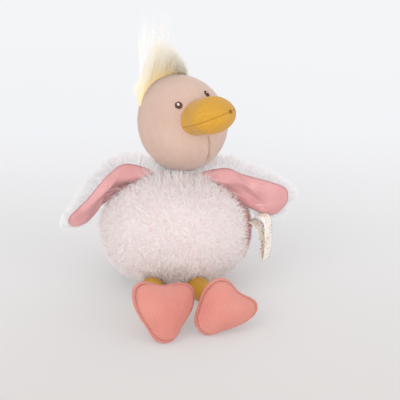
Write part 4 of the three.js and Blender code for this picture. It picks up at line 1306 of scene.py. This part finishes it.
class BIRD_OT_label(Operator):
    """Ribbon label looped out of the right side seam"""

    bl_idname = "bird.label"
    bl_label = "Ribbon label"

    def execute(self, context):
        look, size = colours(), sizes()
        turn = turned(LABEL_TURN, "Z")
        root = mm(LABEL_ROOT)
        line = rounded_line([mm(p) for p in LABEL_LINE], LABEL_POINTS)
        bm = bmesh.new()
        row = [bm.verts.new(root + turn @ (p - Vector((0, size.ribbon_width / 2, 0)))) for p in line]
        edges = [bm.edges.new(pair) for pair in zip(row, row[1:])]
        steps = 6
        for k in range(steps):
            grown = bmesh.ops.extrude_edge_only(bm, edges=edges)["geom"]
            new = [g for g in grown if isinstance(g, bmesh.types.BMVert)]
            edges = [g for g in grown if isinstance(g, bmesh.types.BMEdge) and all(v in new for v in g.verts)]
            bmesh.ops.translate(bm, verts=new, vec=turn @ Vector((0, size.ribbon_width / steps, 0)))
        bmesh.ops.recalc_face_normals(bm, faces=bm.faces[:])
        layer = bm.loops.layers.uv.new("UVMap")
        inverse = turn.inverted()
        points = np.array(line)
        along = run_along(points)
        for face in bm.faces:
            for loop in face.loops:
                local = inverse @ (loop.vert.co - root)
                nearest = np.argmin(np.hypot(points[:, 0] - local.x, points[:, 2] - local.z))
                loop[layer].uv = (local.y / MM / 10, along[nearest] / MM / 10)
        obj = piece("label_ribbon", bm, self.satin(look.ribbon), "label", ["label_loop"])
        solid = obj.modifiers.new("Ribbon thickness", "SOLIDIFY")
        solid.thickness = size.ribbon_thickness
        solid.offset = 0
        return {"FINISHED"}

    def satin(self, colour):
        """White satin with small scattered strokes of colour."""
        made, tree, shader = material("Printed satin")[:3]
        flat = add(tree, "ShaderNodeTexCoord").outputs["UV"]
        base = mixed(tree, noise_node(tree, flat, 8.0), colour, shaded(colour, 0.93))
        for k, tint in enumerate(PRINT):
            shift = fill(tree, add(tree, "ShaderNodeMapping"), Vector=flat, Location=(1.7 * k, 2.3 * k, 0),
                         Rotation=(0, 0, 0.7 + 1.1 * k), Scale=(2.2, 5.5, 1))
            cells = add(tree, "ShaderNodeTexVoronoi", voronoi_dimensions="2D")
            fill(tree, cells, Vector=shift.outputs["Vector"], Scale=1.0)
            band = spread(tree, noise_node(tree, flat, 0.8 + 0.1 * k), 0.5, 0.56)
            mark = maths(tree, "MULTIPLY", spread(tree, cells.outputs["Distance"], 0.24, 0.18), band)
            base = mixed(tree, mark, base, rgb(*tint))
        fill(tree, shader, Base_Color=base, Roughness=0.38, Sheen_Weight=0.1)
        return made


def rounded_line(points, count):
    """A smooth open line through the points, evenly cut."""
    fine = []
    ends = [points[0] * 2 - points[1], *points, points[-1] * 2 - points[-2]]
    for a, b, c, d in zip(ends, ends[1:], ends[2:], ends[3:]):
        for k in range(24):
            t = k / 24
            fine.append(0.5 * ((2 * b) + (c - a) * t + (2 * a - 5 * b + 4 * c - d) * t ** 2
                               + (3 * b - a - 3 * c + d) * t ** 3))
    fine.append(points[-1])
    fine = np.array(fine)
    step = run_along(fine)
    return [Vector(p) for p in between(np.linspace(0, step[-1], count), step, fine)]


class BIRD_OT_stage(Operator):
    """Pale floor, soft light and the camera"""

    bl_idname = "bird.stage"
    bl_label = "Stage"

    def execute(self, context):
        look = colours()
        scene = context.scene
        scene.view_settings.view_transform = "Standard"
        bm = bmesh.new()
        bmesh.ops.create_grid(bm, x_segments=2, y_segments=2, size=FLOOR_HALF)
        mesh = bpy.data.meshes.new("floor")
        bm.to_mesh(mesh)
        bm.free()
        floor = bpy.data.objects.new("floor", mesh)
        scene.collection.objects.link(floor)
        mesh.materials.append(self.floor_material(look))
        for name, settings in LAMPS.items():
            self.lamp(name, *settings)
        world = bpy.data.worlds.new("studio")
        scene.world = world
        world.use_nodes = True
        tree = world.node_tree
        sky = fill(tree, node_of(tree, "BACKGROUND"), Color=SKY_TINT, Strength=SKY_POWER)
        seen = fill(tree, add(tree, "ShaderNodeBackground"), Color=rgb(*BACKDROP))
        ray = add(tree, "ShaderNodeLightPath").outputs["Is Camera Ray"]
        both = mixed_shader(tree, ray, sky.outputs["Background"], seen.outputs["Background"])
        put(tree, both, node_of(tree, "OUTPUT_WORLD").inputs["Surface"])
        self.camera(scene)
        return {"FINISHED"}

    def lamp(self, name, place, size, power, tint):
        """One soft area lamp aimed at the toy."""
        data = bpy.data.lights.new(name, "AREA")
        data.shape = "DISK"
        data.size = size
        data.energy = power
        data.color = tint
        obj = bpy.data.objects.new(name, data)
        obj.location = place
        obj.rotation_euler = (Vector(LAMP_AIM) - Vector(place)).to_track_quat("-Z", "Y").to_euler()
        bpy.context.scene.collection.objects.link(obj)

    def floor_material(self, look):
        """A floor with a faint glow, which grows and pales into the distance as the camera sees it."""
        made, tree, shader, place = material("Studio floor")
        back = fill(tree, add(tree, "ShaderNodeSeparateXYZ"), Vector=place).outputs["Y"]
        colour = mixed(tree, spread(tree, back, -0.28, 0.45), look.floor_near, look.floor_far)
        fill(tree, shader, Base_Color=colour, Roughness=0.9, Specular_IOR_Level=0.1)
        glow = fill(tree, add(tree, "ShaderNodeEmission"), Color=rgb(*FLOOR_GLOW))
        seen = add(tree, "ShaderNodeLightPath").outputs["Is Camera Ray"]
        sweep = maths(tree, "MULTIPLY", seen, spread(tree, back, 0.25, 1.0, FLOOR_GLOW_LEAST))
        sweep = maths(tree, "MAXIMUM", sweep, FLOOR_GLOW_LEAST)
        both = mixed_shader(tree, sweep, shader.outputs["BSDF"], glow.outputs["Emission"])
        put(tree, both, node_of(tree, "OUTPUT_MATERIAL").inputs["Surface"])
        return made

    def camera(self, scene):
        """The camera, in front of the toy and above it."""
        data = bpy.data.cameras.new("camera")
        data.lens = CAMERA_LENS
        data.sensor_width = CAMERA_SENSOR
        camera = bpy.data.objects.new("camera", data)
        camera.location = CAMERA_PLACE
        camera.rotation_euler = (math.radians(CAMERA_PITCH), 0, 0)
        scene.collection.objects.link(camera)
        scene.camera = camera


class BIRD_PT_panel(Panel):
    """The toy's sizes, colours and pieces in the sidebar"""

    bl_idname = "BIRD_PT_panel"
    bl_label = "Stuffed bird"
    bl_space_type = "VIEW_3D"
    bl_region_type = "UI"
    bl_category = "Bird"

    def draw(self, context):
        layout = self.layout
        for operator in OPERATORS:
            layout.operator(operator.bl_idname)
        for group in (context.scene.bird_sizes, context.scene.bird_colours):
            box = layout.box()
            for name in group.bl_rna.properties.keys():
                if name not in ("rna_type", "name"):
                    box.prop(group, name)


OPERATORS = (
    BIRD_OT_stage, BIRD_OT_body, BIRD_OT_neck, BIRD_OT_head, BIRD_OT_beak, BIRD_OT_eyes,
    BIRD_OT_hair, BIRD_OT_wings, BIRD_OT_legs, BIRD_OT_feet, BIRD_OT_label, BIRD_OT_stuffing,
)
CLASSES = (BirdSizes, BirdColours, *OPERATORS, BIRD_PT_panel)


def register():
    """Registers the classes and the scene's settings."""
    for cls in CLASSES:
        bpy.utils.register_class(cls)
    bpy.types.Scene.bird_sizes = PointerProperty(type=BirdSizes)
    bpy.types.Scene.bird_colours = PointerProperty(type=BirdColours)


def unregister():
    """Takes the classes and the scene's settings away."""
    del bpy.types.Scene.bird_colours
    del bpy.types.Scene.bird_sizes
    for cls in reversed(CLASSES):
        bpy.utils.unregister_class(cls)


def main():
    """Builds every piece in order."""
    register()
    for operator in OPERATORS:
        part, step = operator.bl_idname.split(".")
        getattr(getattr(bpy.ops, part), step)()


if __name__ == "__main__":
    main()
